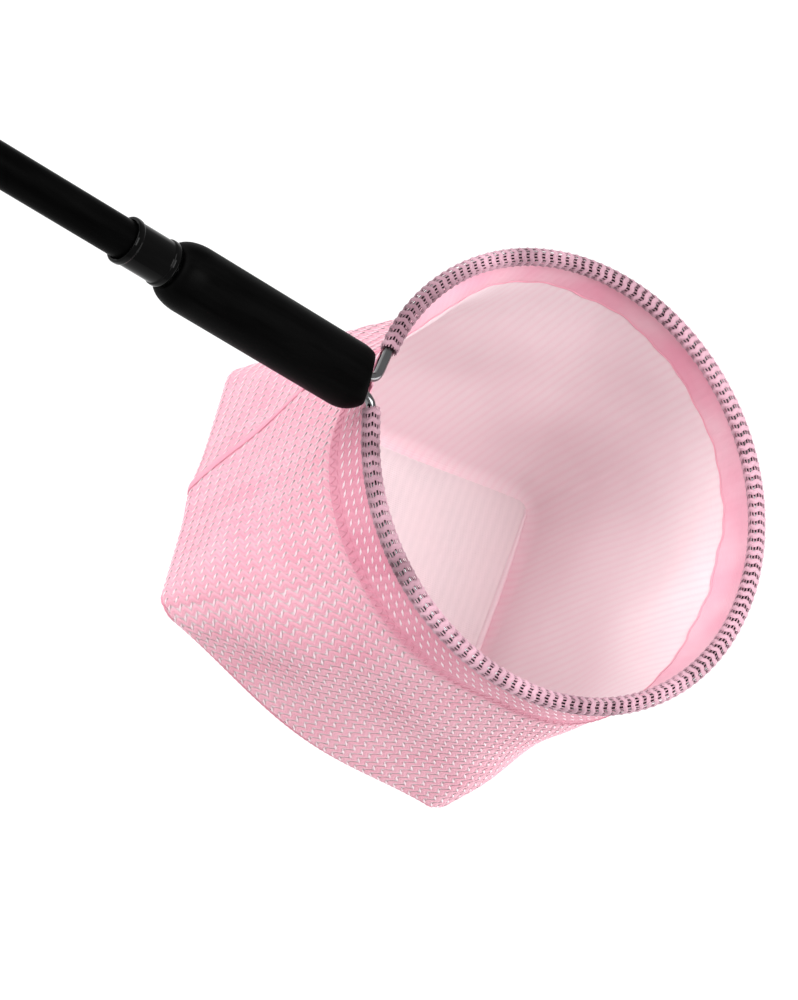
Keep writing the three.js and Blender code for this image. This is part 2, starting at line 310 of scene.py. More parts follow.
@dataclass(frozen=True)
class Yarn:
    """A knitted yarn: side colours that differ as painted light and shade, a mottling deep one, plies and a
    soft sheen.
    """

    name: str
    outer: tuple[int, int, int]
    inner: tuple[int, int, int]
    deep: tuple[int, int, int]
    ply: float = 0.45
    ply_depth: float = 0.00004
    relief: float = 0.5
    mottle: float = 70
    mottle_share: tuple[float, float] = (0.1, 0.9)
    fuzz: float = 900
    shine: tuple[float, float] = (0.62, 0.8)
    gloss: float = 0.25
    sheen: tuple[float, float] = (0.25, 0.5)

    def material(self) -> bpy.types.Material:
        """Makes the yarn.

        Returns:
            The material. The piece's yarn attribute gives the side, the length along the strand in
            millimetres and the strand's own fleck: the plies are a wave of the length and the side.
        """
        n = Nodes(self.name)
        yarn = n.add("ShaderNodeAttribute", attribute_name=YARN)
        parts = n.add("ShaderNodeSeparateXYZ")
        n.join(yarn.outputs["Vector"], parts.inputs["Vector"])
        side, length, fleck = parts.outputs
        slow = n.noise(n.place(), self.mottle, 3)
        # The mix of the inner and the outer colour by side is painted light and shade.
        faces = n.blended(side, linear(*self.inner), linear(*self.outer))
        shade = n.add("ShaderNodeMath", operation="MULTIPLY")
        n.join(n.ranged(slow, *self.mottle_share), shade.inputs[0])
        n.join(fleck, shade.inputs[1])
        tone = n.blended(shade.outputs[0], faces, linear(*self.deep))
        n.join(tone, n.shader.inputs["Base Color"])
        turn = n.add("ShaderNodeMath", operation="MULTIPLY_ADD")
        n.join(length, turn.inputs[0])
        turn.inputs[1].default_value = TURN / self.ply
        n.join(side, turn.inputs[2])
        wave = n.add("ShaderNodeMath", operation="SINE")
        n.join(turn.outputs[0], wave.inputs[0])
        n.bump(wave.outputs[0], self.ply_depth, self.relief)
        rough = n.ranged(n.noise(n.place(), self.fuzz, 2), *self.shine)
        n.join(rough, n.shader.inputs["Roughness"])
        weight, soft = self.sheen
        n.set(Specular_IOR_Level=self.gloss, Sheen_Weight=weight, Sheen_Roughness=soft)
        return n.material


@dataclass(frozen=True)
class StudioFloor:
    """A pale floor that the camera sees as white, with the object's shadow on it."""

    name: str = "studio_floor"
    bounce: float = 0.75
    spread: float = 0.01
    clouds: float = 6
    shown: float = 0.78
    shaded: float = 0.24

    def material(self) -> bpy.types.Material:
        """Makes the floor.

        Returns:
            The material: a plain diffuse for light that bounces, and for rays that the camera, metal
            or glass sends, a weaker diffuse with a glow that lifts it to white.
        """
        n = Nodes(self.name)
        n.tree.nodes.remove(n.shader)
        path = n.add("ShaderNodeLightPath")
        seen = path.outputs["Is Camera Ray"]
        for other in ("Is Glossy Ray", "Is Transmission Ray"):
            most = n.add("ShaderNodeMath", operation="MAXIMUM")
            n.join(seen, most.inputs[0])
            n.join(path.outputs[other], most.inputs[1])
            seen = most.outputs[0]
        speckle = n.ranged(n.noise(n.place(), self.clouds, 2), 0, 1)
        plain = n.add("ShaderNodeBsdfDiffuse")
        low, high = (self.bounce - self.spread,) * 3, (self.bounce + self.spread,) * 3
        n.join(n.blended(speckle, low, high), plain.inputs["Color"])
        weak = n.add("ShaderNodeBsdfDiffuse")
        weak.inputs["Color"].default_value = (self.shaded,) * 3 + (1.0,)
        glow = n.add("ShaderNodeEmission")
        glow.inputs["Strength"].default_value = self.shown
        both = n.add("ShaderNodeAddShader")
        n.join(weak.outputs[0], both.inputs[0])
        n.join(glow.outputs[0], both.inputs[1])
        mix = n.add("ShaderNodeMixShader")
        n.join(seen, mix.inputs[0])
        n.join(plain.outputs[0], mix.inputs[1])
        n.join(both.outputs[0], mix.inputs[2])
        n.join(mix.outputs[0], n.output.inputs["Surface"])
        return n.material


class Finishes:
    """All the finishes of the net, each made once."""

    def __init__(self) -> None:
        """Makes every material. Coats and yarns are in steps of 0 to 255, and metals are linear."""
        dark, lit = (2, 2, 2), (6, 6, 6)
        self.lacquer = Coating("black_lacquer", dark, lit, (0.26, 0.4), 0.000012, 0.012).material()
        self.moulding = Coating("black_moulding", dark, lit, (0.36, 0.5), 0.00002, 0.016).material()
        self.collar = Coating("bright_collar", dark, lit, (0.04, 0.1), 0.000004, 0.08).material()
        pale, grey = (0.66, 0.67, 0.69), (0.52, 0.53, 0.55)
        self.steel = Metal("bright_steel", pale, grey, (0.16, 0.3), (0.05, 1, 1), 0.000006).material()
        bright, drawn = (0.22, 0.22, 0.225), (0.16, 0.16, 0.165)
        self.wire = Metal("wire_steel", bright, drawn, (0.08, 0.18), (1, 1, 1), 0.000003).material()
        gold, old = (0.62, 0.44, 0.16), (0.46, 0.31, 0.1)
        self.brass = Metal("bush_brass", gold, old, (0.25, 0.4), (1, 0.3, 0.3), 0.00001).material()
        bone, cream = (228, 224, 214), (240, 237, 230)
        self.guide = Coating("guide_plastic", bone, cream, (0.45, 0.6), 0.00001, 0.4).material()
        # Each yarn's inner colour against its outer one is painted light and shade.
        self.net = Yarn("net_pink", (236, 162, 182), (240, 201, 209), (232, 149, 171)).material()
        # The lining's pale inner colour is painted light through the cloth; its outer pink serves the
        # turned-in hem and the painted shade.
        self.lining = Yarn("net_lining_painted_light", (236, 160, 183), (244, 229, 232), (241, 217, 223)).material()
        # The base lining's pale inner colour is painted light through the cloth; its grey outer colour gives
        # its ribs and its painted shade.
        ash, milk, petal = (172, 163, 167), (238, 224, 226), (232, 213, 216)
        self.base_lining = Yarn("net_base_lining_painted_light", ash, milk, petal).material()
        self.floats = Yarn("net_float", (250, 228, 234), (248, 218, 227), (248, 216, 226), 0.3).material()
        self.hem = Yarn("net_hem", (222, 144, 165), (228, 160, 179), (214, 128, 152)).material()
        self.seam = Yarn("net_seam", (236, 156, 177), (240, 176, 193), (232, 146, 169)).material()
        # The sleeve's dark deep colour is painted shade along the ring and in the gaps between its wraps;
        # its darker inner side is painted shade too.
        self.sleeve = Yarn("net_sleeve", (212, 168, 183), (192, 144, 160), (88, 54, 66), 0.3).material()
        self.thread = Yarn("net_thread", (224, 146, 168), (228, 158, 178), (218, 134, 158), 0.3).material()


# Surfaces


def unit(vectors: np.ndarray) -> np.ndarray:
    """Vectors at a length of one."""
    return vectors / np.maximum(np.linalg.norm(vectors, axis=-1, keepdims=True), 1e-12)


def rounded(corners: np.ndarray, steps: int, closed: bool) -> np.ndarray:
    """Rounds the corners of a profile.

    Each corner becomes a curve that starts and ends its own radius away along the two sides, with one
    more point just outside each end so that the sides stay flat under smooth shading.

    Args:
        corners: rows of x, radius and the corner's rounding.
        steps: points in each curve.
        closed: whether the last corner joins the first.

    Returns:
        Rows of x and radius.
    """
    here, size = corners[:, :2], corners[:, 2]
    back, ahead = np.roll(here, 1, 0) - here, np.roll(here, -1, 0) - here
    reach_back = np.minimum(size, SIDE_SHARE * np.linalg.norm(back, axis=1))
    reach_ahead = np.minimum(size, SIDE_SHARE * np.linalg.norm(ahead, axis=1))
    start = here + unit(back) * reach_back[:, None]
    end = here + unit(ahead) * reach_ahead[:, None]
    t = np.linspace(0, 1, steps)[None, :, None]
    curve = (1 - t) ** 2 * start[:, None] + 2 * t * (1 - t) * here[:, None] + t**2 * end[:, None]
    before = here + unit(back) * (GUARD * reach_back)[:, None]
    after = here + unit(ahead) * (GUARD * reach_ahead)[:, None]
    full = np.concatenate([before[:, None], curve, after[:, None]], 1)
    if closed:
        return full.reshape(-1, 2)
    return np.concatenate([here[:1], full[1:-1].reshape(-1, 2), here[-1:]])


def spun(profile: np.ndarray, sides: int) -> np.ndarray:
    """Carries a profile round the X axis.

    Args:
        profile: rows of x and radius.
        sides: steps round the axis.

    Returns:
        A grid of points: x stays, and the radius is turned by the angle into Y and Z.
    """
    angle = np.arange(sides) / sides * TURN
    x = np.broadcast_to(profile[:, :1], (len(profile), sides))
    return np.stack([x, profile[:, 1:] * np.cos(angle), profile[:, 1:] * np.sin(angle)], -1)


def tubes(
    lines: np.ndarray, lift: np.ndarray, wide: float | np.ndarray, thick: float, sides: int, loop: bool
) -> np.ndarray:
    """Carries a small oval along each of many lines.

    Args:
        lines: lines of points.
        lift: the direction of the oval's thin way at each point.
        wide: the oval's size across, for all points or for each.
        thick: its size along lift.
        sides: corners of the oval.
        loop: whether each line closes on itself.

    Returns:
        For each line and point the oval's corners: the point, plus a cosine of the corner's angle
        across the line, plus a sine of it along lift.
    """
    if loop:
        way = np.roll(lines, -1, 1) - np.roll(lines, 1, 1)
    else:
        way = np.gradient(lines, axis=1)
    way = unit(way)
    across = unit(np.cross(lift, way))
    rise = np.cross(way, across)
    angle = (np.arange(sides) / sides * TURN)[:, None]
    half = 0.5 * np.broadcast_to(wide, lines.shape[:2])[:, :, None, None]
    offset = half * np.cos(angle) * across[:, :, None] + 0.5 * thick * np.sin(angle) * rise[:, :, None]
    return lines[:, :, None] + offset


def edged(first: float, last: float, steps: int) -> np.ndarray:
    """Even steps with one more just inside each end, so that a thin shell's edge stays crisp.

    Args:
        first: the first value.
        last: the last value.
        steps: the number of even steps.

    Returns:
        The values in order.
    """
    margin = EDGE_MARGIN * (last - first)
    return np.sort(np.append(np.linspace(first, last, steps), [first + margin, last - margin]))


def through(points: np.ndarray, steps: int) -> np.ndarray:
    """A smooth line through points, each span a cubic with square-root spacing of its knots.

    Args:
        points: the points in order.
        steps: points on each span.

    Returns:
        The line's points, the last one included.
    """
    ends = np.concatenate([2 * points[:1] - points[1:2], points, 2 * points[-1:] - points[-2:-1]])
    p = [ends[i : len(ends) - 3 + i, None] for i in range(4)]
    gap = [np.sqrt(np.linalg.norm(p[i + 1] - p[i], axis=-1, keepdims=True)) for i in range(3)]
    k0 = np.zeros_like(gap[0])
    k1, k2, k3 = gap[0], gap[0] + gap[1], gap[0] + gap[1] + gap[2]
    t = k1 + (k2 - k1) * (np.arange(steps) / steps)[None, :, None]
    a1 = (k1 - t) / (k1 - k0) * p[0] + (t - k0) / (k1 - k0) * p[1]
    a2 = (k2 - t) / (k2 - k1) * p[1] + (t - k1) / (k2 - k1) * p[2]
    a3 = (k3 - t) / (k3 - k2) * p[2] + (t - k2) / (k3 - k2) * p[3]
    b1 = (k2 - t) / (k2 - k0) * a1 + (t - k0) / (k2 - k0) * a2
    b2 = (k3 - t) / (k3 - k1) * a2 + (t - k1) / (k3 - k1) * a3
    line = (k2 - t) / (k2 - k1) * b1 + (t - k1) / (k2 - k1) * b2
    return np.concatenate([line.reshape(-1, 3), points[-1:]])


def lengths(line: np.ndarray) -> np.ndarray:
    """The length along a line at each of its points."""
    return np.concatenate([[0], np.linalg.norm(np.diff(line, axis=0), axis=-1).cumsum()])


def cells(number: int, rows: int, columns: int) -> tuple[np.ndarray, np.ndarray, np.ndarray]:
    """Numbers the faces of grids of points.

    Args:
        number: how many grids.
        rows: spans between the rows of each.
        columns: spans between its columns.

    Returns:
        Each face's grid, and the rows and the columns of its four corners, not yet wrapped round.
    """
    axes = (np.arange(n) for n in (number, rows, columns))
    s, i, j = (a.ravel() for a in np.meshgrid(*axes, indexing="ij"))
    return s[:, None], np.stack([i, i + 1, i + 1, i], 1), np.stack([j, j, j + 1, j + 1], 1)


class Piece:
    """Gathers grids of points into one mesh object."""

    def __init__(self, name: str, smooth: bool = True) -> None:
        """Starts an empty piece.

        Args:
            name: the object's name.
            smooth: whether its faces are shaded as one rounded skin. Thin flat strands keep plain faces.
        """
        self.name = name
        self.smooth = smooth
        self.points: list[np.ndarray] = []
        self.yarn: list[np.ndarray] = []
        self.faces: list[tuple[np.ndarray, np.ndarray]] = []
        self.count = 0

    def _take(self, points: np.ndarray, yarn: np.ndarray | None) -> int:
        """Adds points.

        Args:
            points: a grid of points.
            yarn: their side, length and fleck, or None for zeros.

        Returns:
            The number of the first one.
        """
        first = self.count
        self.points.append(points.reshape(-1, 3))
        blank = np.zeros_like(self.points[-1])
        self.yarn.append(blank if yarn is None else yarn.reshape(-1, 3))
        self.count += len(self.points[-1])
        return first

    def skin(self, grid: np.ndarray, ends: Ends, yarn: np.ndarray | None = None) -> "Piece":
        """Adds a grid that closes round its columns.

        Args:
            grid: rows of points, each row a ring.
            ends: LOOP joins the last row to the first, CAPPED closes each end with a fan, and STRIP
                closes each end of a flat shell with faces from its first half to its second.
            yarn: the points' side, length and fleck, where the finish is a yarn.

        Returns:
            The piece itself.
        """
        rows, cols = grid.shape[:2]
        first = self._take(grid, yarn)
        spans = rows if ends is Ends.LOOP else rows - 1
        _, i, j = cells(1, spans, cols)
        self.faces.append((first + i % rows * cols + j % cols, np.stack([j / cols, i / spans], -1)))
        if ends is Ends.LOOP:
            return self
        for row, flip in ((0, 1), (rows - 1, -1)):
            ring = first + row * cols
            if ends is Ends.CAPPED:
                k = np.arange(cols)
                pole = np.full(cols, self._take(grid[row].mean(0), None))
                closing = np.stack([ring + k, ring + (k + 1) % cols, pole], 1)
                across = np.stack([k, k + 1, k + 0.5], 1)
            else:
                k = np.arange(cols // 2 - 1)
                across = np.stack([k, k + 1, cols - 2 - k, cols - 1 - k], 1)
                closing = ring + across
            place = np.stack([across / cols, np.full(across.shape, float(row > 0))], -1)
            self.faces.append((closing[:, ::flip], place[:, ::flip]))
        return self

    def strands(self, grid: np.ndarray, loop: bool, fleck: np.ndarray) -> "Piece":
        """Adds many closed tubes at once.

        Args:
            grid: for each strand and step the corners of its section.
            loop: whether the strands close on themselves or get a face at each end.
            fleck: a shade of 0 to 1 for each strand.

        Returns:
            The piece itself.
        """
        number, steps, sides = grid.shape[:3]
        run = np.linalg.norm(np.diff(grid.mean(2), axis=1), axis=-1).cumsum(1)
        run = np.concatenate([np.zeros((number, 1)), run], 1)
        outer = 0.5 + 0.5 * np.sin(np.arange(sides) / sides * TURN)
        yarn = np.broadcast_arrays(outer, run[..., None], fleck[:, None, None])
        first = self._take(grid, np.stack(yarn, -1))
        spans = steps if loop else steps - 1
        s, i, j = cells(number, spans, sides)
        places = np.stack([(s + STRIP_SHARE * j / sides + STRIP_MARGIN) / number, i / spans], -1)
        self.faces.append((first + (s * steps + i % steps) * sides + j % sides, places))
        if loop:
            return self
        s, around = np.arange(number)[:, None], np.arange(sides)
        for row, flip in ((0, -1), (steps - 1, 1)):
            cap = first + (s * steps + row) * sides + around
            place = np.stack([(s + around / sides) / number, np.full(cap.shape, row / (steps - 1))], -1)
            self.faces.append((cap[:, ::flip], place[:, ::flip]))
        return self

    def volume(self) -> float:
        """The signed volume.

        Returns:
            The sum over all faces, each cut into a fan of triangles, of a sixth of their box products.
        """
        points = np.concatenate(self.points)
        total = 0.0
        for corners, _ in self.faces:
            for k in range(1, corners.shape[1] - 1):
                a, b, c = points[corners[:, 0]], points[corners[:, k]], points[corners[:, k + 1]]
                total += float(np.einsum("ij,ij->", a, np.cross(b, c))) / 6
        return total

    def build(self, finish: bpy.types.Material, body: Body, slot: Slot, *nodes: str) -> bpy.types.Object:
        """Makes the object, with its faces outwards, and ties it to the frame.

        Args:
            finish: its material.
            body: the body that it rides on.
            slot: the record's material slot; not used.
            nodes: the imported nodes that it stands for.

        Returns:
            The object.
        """
        turn = -1 if self.volume() < 0 else 1
        corners = [c[:, ::turn] for c, _ in self.faces]
        places = np.concatenate([p[:, ::turn].reshape(-1, 2) for _, p in self.faces])
        sizes = np.concatenate([np.full(len(c), c.shape[1]) for c in corners])
        loops = np.concatenate([c.ravel() for c in corners])
        mesh = bpy.data.meshes.new(self.name)
        mesh.vertices.add(self.count)
        mesh.vertices.foreach_set("co", (np.concatenate(self.points) * MM).astype(np.float32).ravel())
        mesh.loops.add(len(loops))
        mesh.loops.foreach_set("vertex_index", loops.astype(np.int32))
        mesh.polygons.add(len(sizes))
        mesh.polygons.foreach_set("loop_start", (np.cumsum(sizes) - sizes).astype(np.int32))
        mesh.uv_layers.new(name=PLACE_MAP).data.foreach_set("uv", places.astype(np.float32).ravel())
        mesh.update(calc_edges=True)
        mesh.polygons.foreach_set("use_smooth", np.full(len(sizes), self.smooth))
        attribute = mesh.attributes.new(YARN, "FLOAT_VECTOR", "POINT")
        attribute.data.foreach_set("vector", np.concatenate(self.yarn).astype(np.float32).ravel())
        mesh.materials.append(finish)
        piece = bpy.data.objects.new(self.name, mesh)
        bpy.context.scene.collection.objects.link(piece)
        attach(piece, body.value)
        if nodes:
            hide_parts(*nodes)
        log.info("%s: %d faces", self.name, len(sizes))
        return piece


def dress(node: str, finish: bpy.types.Material) -> None:
    """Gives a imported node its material.

    Args:
        node: the node's name.
        finish: its material.
    """
    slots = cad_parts[node].data.materials
    slots.clear()
    slots.append(finish)
    log.info("%s: packed shape", node)


# Sub-assemblies


@dataclass
class Handle:
    """The grip: a lacquered tube with a butt cap, a collar and a guide bush. Sizes in mm."""

    length: float = 180.0
    outer: float = 4.0
    bore: float = 3.3
    inner_edge: float = 0.12
    outer_edge: float = 0.2
    cap_outer: float = 4.6
    cap_length: float = 9.0
    cap_gap: float = 0.3
    spigot: float = 12.0
    spigot_gap: float = 0.2
    groove: tuple[float, float, float] = (2.0, 3.2, 0.35)
    groove_slope: float = 0.3
    tab_reach: float = 8.75
    tab_sunk: float = 2.5
    tab_half: float = 6.25
    tab_thick: float = 4.0
    tab_edge: float = 0.9
    tab_power: int = 7
    hole: float = 3.4
    collar_front: float = 91.6
    collar_length: float = 11.0
    collar_gap: float = 0.2
    collar_outer: float = 4.6
    collar_bead: float = 0.3
    bead_length: float = 1.4
    bead_foot: float = 0.15
    lip: float = 1.3
    lip_bore: float = 2.6
    sides: int = 96

    def tube(self, finish: bpy.types.Material) -> None:
        """Builds the tube: a wall profile with rolled edges, carried round X.

        Args:
            finish: its material.
        """
        half = self.length / 2
        wall = [[-half, self.bore, self.inner_edge], [half, self.bore, self.inner_edge]]
        wall += [[half, self.outer, self.outer_edge], [-half, self.outer, self.outer_edge]]
        grid = spun(rounded(np.array(wall), 4, True), self.sides)
        Piece("grip_tube").skin(grid, Ends.LOOP).build(finish, Body.HANDLE, Slot.LACQUER, "handle_tube")

    def collar(self, finish: bpy.types.Material) -> None:
        """Builds the collar: a thin wall with a lip at its front and a rounded bead at each end.

        Args:
            finish: its material.
        """
        front, rear = self.collar_front, self.collar_front - self.collar_length
        inner, outer = self.outer + self.collar_gap, self.collar_outer
        bead, seat, bore = outer + self.collar_bead, front - self.lip, self.lip_bore
        step, foot = self.bead_length, self.bead_length + self.bead_foot
        corners = [[rear, inner, 0.1], [seat, inner, 0.1], [seat, bore, 0.1], [front, bore, 0.25]]
        corners += [[front, bead, 0.65], [front - step, bead, 0.5], [front - foot, outer, 0.25]]
        corners += [[rear + foot, outer, 0.25], [rear + step, bead, 0.5], [rear, bead, 0.65]]
        grid = spun(rounded(np.array(corners), 6, True), self.sides)
        Piece("grip_collar").skin(grid, Ends.LOOP).build(finish, Body.HANDLE, Slot.COLLAR, "ferrule")

    def cap(self, finish: bpy.types.Material) -> None:
        """Builds the butt cap: a turned head with a groove, and a flat tab with a hanging hole.

        The tab is a ring: at each angle round the hole a rounded oblong reaches from the hole to an outline
        that is round at the far end and a soft-cornered oblong towards the head.

        Args:
            finish: its material.
        """
        face = -self.length / 2 - self.cap_gap
        rear, inner, r = face - self.cap_length, -self.length / 2 + self.spigot, self.cap_outer
        start, stop = face - self.groove[0], face - self.groove[1]
        low, fit, slope = r - self.groove[2], self.bore - self.spigot_gap, self.groove_slope
        corners = [[inner, 0, 0], [inner, fit, 0.4], [face, fit, 0.15], [face, r, 0.7]]
        corners += [[start, r, 0.3], [start - slope, low, 0.2], [stop + slope, low, 0.2], [stop, r, 0.3]]
        corners += [[rear, r, 2.4], [rear, 0, 0]]
        head = spun(rounded(np.array(corners), 7, False)[1:-1], self.sides)
        angle = np.arange(self.sides) / self.sides * TURN
        to_head = np.maximum(np.cos(angle), 0) / (self.tab_reach + self.tab_sunk)
        flank = np.abs(np.sin(angle)) / self.tab_half
        oblong = (to_head**self.tab_power + flank**self.tab_power + 1e-12) ** (-1 / self.tab_power)
        reach = np.where(np.cos(angle) > 0, oblong, self.tab_half)
        half, swing = self.tab_thick / 2, np.linspace(0, math.pi / 2, 6)
        early, late = self.tab_edge * (1 - np.cos(swing)), self.tab_edge * (1 - np.sin(swing))
        nudge = np.concatenate([early, -late, -early, late])
        z = np.concatenate([half - late, half - early, late - half, early - half])
        share = np.repeat([0.0, 1.0, 1.0, 0.0], len(swing))
        out = self.hole + share[:, None] * (reach - self.hole) + nudge[:, None]
        x = rear - self.tab_reach + out * np.cos(angle)
        tab = np.stack([x, out * np.sin(angle), np.broadcast_to(z[:, None], out.shape)], -1)
        piece = Piece("butt_cap").skin(head, Ends.CAPPED).skin(tab, Ends.LOOP)
        piece.build(finish, Body.HANDLE, Slot.MOULDING, "end_cap")

    def build(self, finishes: Finishes) -> None:
        """Builds the whole grip.

        Args:
            finishes: the net's materials.
        """
        self.tube(finishes.lacquer)
        self.collar(finishes.collar)
        self.cap(finishes.moulding)
        dress("mouth_bush", finishes.guide)


@dataclass
class Slides:
    """The two sliding sections inside the grip, each as rear, front, outer radius and bore. Sizes in mm."""

    section: tuple[float, float, float, float] = (-74.0, 91.3, 2.4, 2.05)
    mouth_bore: float = 1.6
    mouth: float = 4.0
    tip: tuple[float, float, float, float] = (-70.0, 116.0, 1.4, 1.0)
    bush: float = 10.0
    flange: float = 1.0
    gap: float = 0.3
    bead: float = 0.8
    bead_top: float = 0.56
    rise: float = 0.35
    sides: int = 64

    def tube(self, sizes: tuple[float, float, float, float], mouth: list[list[float]]) -> np.ndarray:
        """A section's skin: a wall with a flange and a bead that hold its bush, carried round X.

        Args:
            sizes: rear, front, outer radius and bore.
            mouth: the corners at its front end.

        Returns:
            The grid of points.
        """
        rear, _, outer, bore = sizes
        seat, proud = rear + self.flange, outer + self.rise
        bead = seat + 2 * self.gap + self.bush
        corners = [[rear, bore, 0.1], *mouth, [bead + self.bead, outer, 0.2]]
        corners += [[bead + self.bead_top, proud, 0.15], [bead, proud, 0.1], [bead, outer, 0.05]]
        corners += [[seat, outer, 0.05], [seat, proud, 0.1], [rear, proud, 0.1]]
        return spun(rounded(np.array(corners), 4, True), self.sides)

    def build(self, finishes: Finishes) -> None:
        """Builds both sections and dresses their bushes.

        Args:
            finishes: the net's materials.
        """
        _, front, outer, bore = self.section
        rolled = [[front - self.mouth, bore, 0.2], [front - self.mouth + self.gap, self.mouth_bore, 0.2]]
        rolled += [[front, self.mouth_bore, 0.15], [front, outer, 0.5]]
        middle = Piece("middle_section").skin(self.tube(self.section, rolled), Ends.LOOP)
        middle.build(finishes.steel, Body.SECTION, Slot.STEEL, "section_tube")
        _, front, outer, bore = self.tip
        plain = [[front, bore, 0.1], [front, outer, 0.15]]
        tip = Piece("tip_section").skin(self.tube(self.tip, plain), Ends.LOOP)
        tip.build(finishes.steel, Body.HEAD, Slot.STEEL, "tip_tube")
        dress("section_bush", finishes.brass)
        dress("tip_bush", finishes.brass)


@dataclass
class Hoop:
    """The tilted ring: places on it, its wire and the moulded socket that holds it. Sizes in mm."""

    rim: float = 148.1
    radius: float = 48.3
    cant: float = math.radians(12)
    wire: float = 1.0
    leg_y: float = 2.0
    flare: float = 5.2
    knee_out: float = 0.6
    knee_spread: float = 1.1
    sleeve: float = 2.0
    back: float = 92.3
    nose: float = 145.8
    outer: float = 7.0
    rear_flat: float = 4.4
    front_flat: float = 2.6
    rear_round: float = 6.0
    front_round: float = 6.0
    bevel: float = math.radians(35)
    bevel_soft: float = 0.22
    seat_depth: float = 24.0
    seat_bore: float = 1.65
    slot_depth: float = 24.0
    slot_half: float = 2.3
    slot_radius: float = 1.3
    slot_clear: float = 0.3
    slot_draft: float = 0.08
    slot_lip: tuple[float, float] = (0.25, 1.0)
    seat_lip: tuple[float, float] = (0.4, 0.35)
    body_margin: float = 0.4
    leg_straight: float = 2.0
    leg_middle: float = 0.6
    knee_start: float = 0.3
    knee_ease: float = 0.1
    ring_points: int = 61
    leg_points: int = 5
    span_steps: int = 6

    def placed(self, local: np.ndarray) -> np.ndarray:
        """Points of the head's own frame in the part's frame.

        Args:
            local: points in the head's own frame, whose origin is on the rim at the socket.

        Returns:
            The points in the part's frame: a turn about Y by the cant, then a move to the rim.
        """
        x, y, z = np.moveaxis(local, -1, 0)
        c, s = math.cos(self.cant), math.sin(self.cant)
        return np.stack([self.rim + c * x - s * z, y, s * x + c * z], -1)

    def turned(self, local: np.ndarray) -> np.ndarray:
        """Directions of the head's own frame in the part's frame."""
        return self.placed(local) - self.placed(np.zeros(3))

    def ring(self, angle: np.ndarray) -> np.ndarray:
        """Points of the ring's circle in the head's own frame, from the socket towards +Y."""
        return np.stack([self.radius * (1 - np.cos(angle)), self.radius * np.sin(angle), 0 * angle], -1)

    @property
    def bend(self) -> float:
        """The ring's angle where the wire starts to bend towards the socket."""
        return math.asin((self.leg_y + self.flare) / self.radius)

    def wire_line(self) -> np.ndarray:
        """The wire's line.

        Returns:
            A smooth line through the points of a leg, a knee, the ring, a knee and a leg.
        """
        end = self.rim - self.nose + self.slot_depth - self.slot_clear
        knee = [self.sleeve + self.leg_straight, self.sleeve + self.knee_start, self.knee_out]
        out = np.array([end, self.leg_middle * end, *knee])
        y = self.leg_y + np.array([0, 0, 0, self.knee_ease * self.knee_spread, self.knee_spread])
        leg = np.stack([-math.cos(self.cant) * out, y, math.sin(self.cant) * out], -1)
        ring = self.ring(np.linspace(self.bend, TURN - self.bend, self.ring_points))
        corners = np.concatenate([leg, ring, (leg * [1, -1, 1])[::-1]])
        return self.placed(through(corners, self.span_steps))

    def socket_grid(self, sides: int = 120) -> np.ndarray:
        """The socket's skin, as rings that change from round to the slot's oval.

        From the bottom of the rear seat the rings run back, round the rear edge, along the body and over
        the nose. On the nose each ring is a mix of the body's circle and the slot's oval, set forward by
        the nose's rounding at its radius or to a slanted plane over the slot, whichever is further back, and
        the last rings go down the slot.

        Args:
            sides: steps round the axis.

        Returns:
            The grid of points.
        """
        angle = np.arange(sides) / sides * TURN
        bottom, (lip, chamfer) = self.back + self.seat_depth, self.seat_lip
        seat = [[bottom, 0.2], [bottom, self.seat_bore], [self.back + lip, self.seat_bore]]
        seat += [[self.back, self.seat_bore + chamfer]]
        swing = np.linspace(0, math.pi / 2, 16)
        shoulder_x = self.back + self.rear_round * (1 - np.cos(swing))
        shoulder_r = self.rear_flat + (self.outer - self.rear_flat) * np.sin(swing)
        start = self.back + self.rear_round + self.body_margin
        body = np.linspace(start, self.nose - self.front_round - self.body_margin, 24)
        shoulder = np.stack([shoulder_x, shoulder_r], -1)
        profile = [np.array(seat), shoulder, np.stack([body, np.full(24, self.outer)], -1)]
        turned = spun(np.concatenate(profile), sides)
        side = self.slot_radius / np.maximum(np.abs(np.sin(angle)), 1e-9)
        reach = self.slot_half * np.abs(np.cos(angle))
        bulge = np.maximum(self.slot_radius**2 - (self.slot_half * np.sin(angle)) ** 2, 0)
        straight = side * np.abs(np.cos(angle)) <= self.slot_half
        oval = np.where(straight, side, reach + np.sqrt(bulge))
        share = 0.5 - 0.5 * np.cos(np.linspace(0, math.pi, 20))[:, None]
        radius = self.outer + (oval - self.outer) * share
        rise = np.clip((radius - self.front_flat) / (self.outer - self.front_flat), 0, 1)
        ahead = self.nose - self.front_round * (1 - np.sqrt(1 - rise**2))
        slant = self.nose - math.tan(self.bevel) * radius * np.sin(angle)
        ahead = -self.bevel_soft * np.logaddexp(-ahead / self.bevel_soft, -slant / self.bevel_soft)
        edge, floor = ahead[-1:], np.full((1, sides), self.nose - self.slot_depth)
        x = np.concatenate([ahead, *(edge - down for down in self.slot_lip), floor, floor])
        r = np.concatenate([radius, np.repeat(radius[-1:] - self.slot_draft, 3, 0), radius[-1:] * 0.2])
        nose = np.stack([x, r * np.cos(angle), r * np.sin(angle)], -1)
        return np.concatenate([turned, nose])

    def build(self, finishes: Finishes) -> None:
        """Builds the socket and the wire.

        Args:
            finishes: the net's materials.
        """
        socket = Piece("hoop_socket").skin(self.socket_grid(), Ends.CAPPED)
        socket.build(finishes.moulding, Body.HEAD, Slot.MOULDING, "net_socket")
        line = self.wire_line()[None]
        up = np.broadcast_to(self.turned(UP), line.shape)
        grid = tubes(line, up, 2 * self.wire, 2 * self.wire, 16, False)
        wire = Piece("hoop_ring").skin(grid[0], Ends.CAPPED)
        wire.build(finishes.wire, Body.HEAD, Slot.WIRE, "hoop_wire")


def apart(turn: np.ndarray, at: float | np.ndarray) -> np.ndarray:
    """The shorter way round from one turn to another."""
    return np.mod(turn - at + 0.5, 1) - 0.5


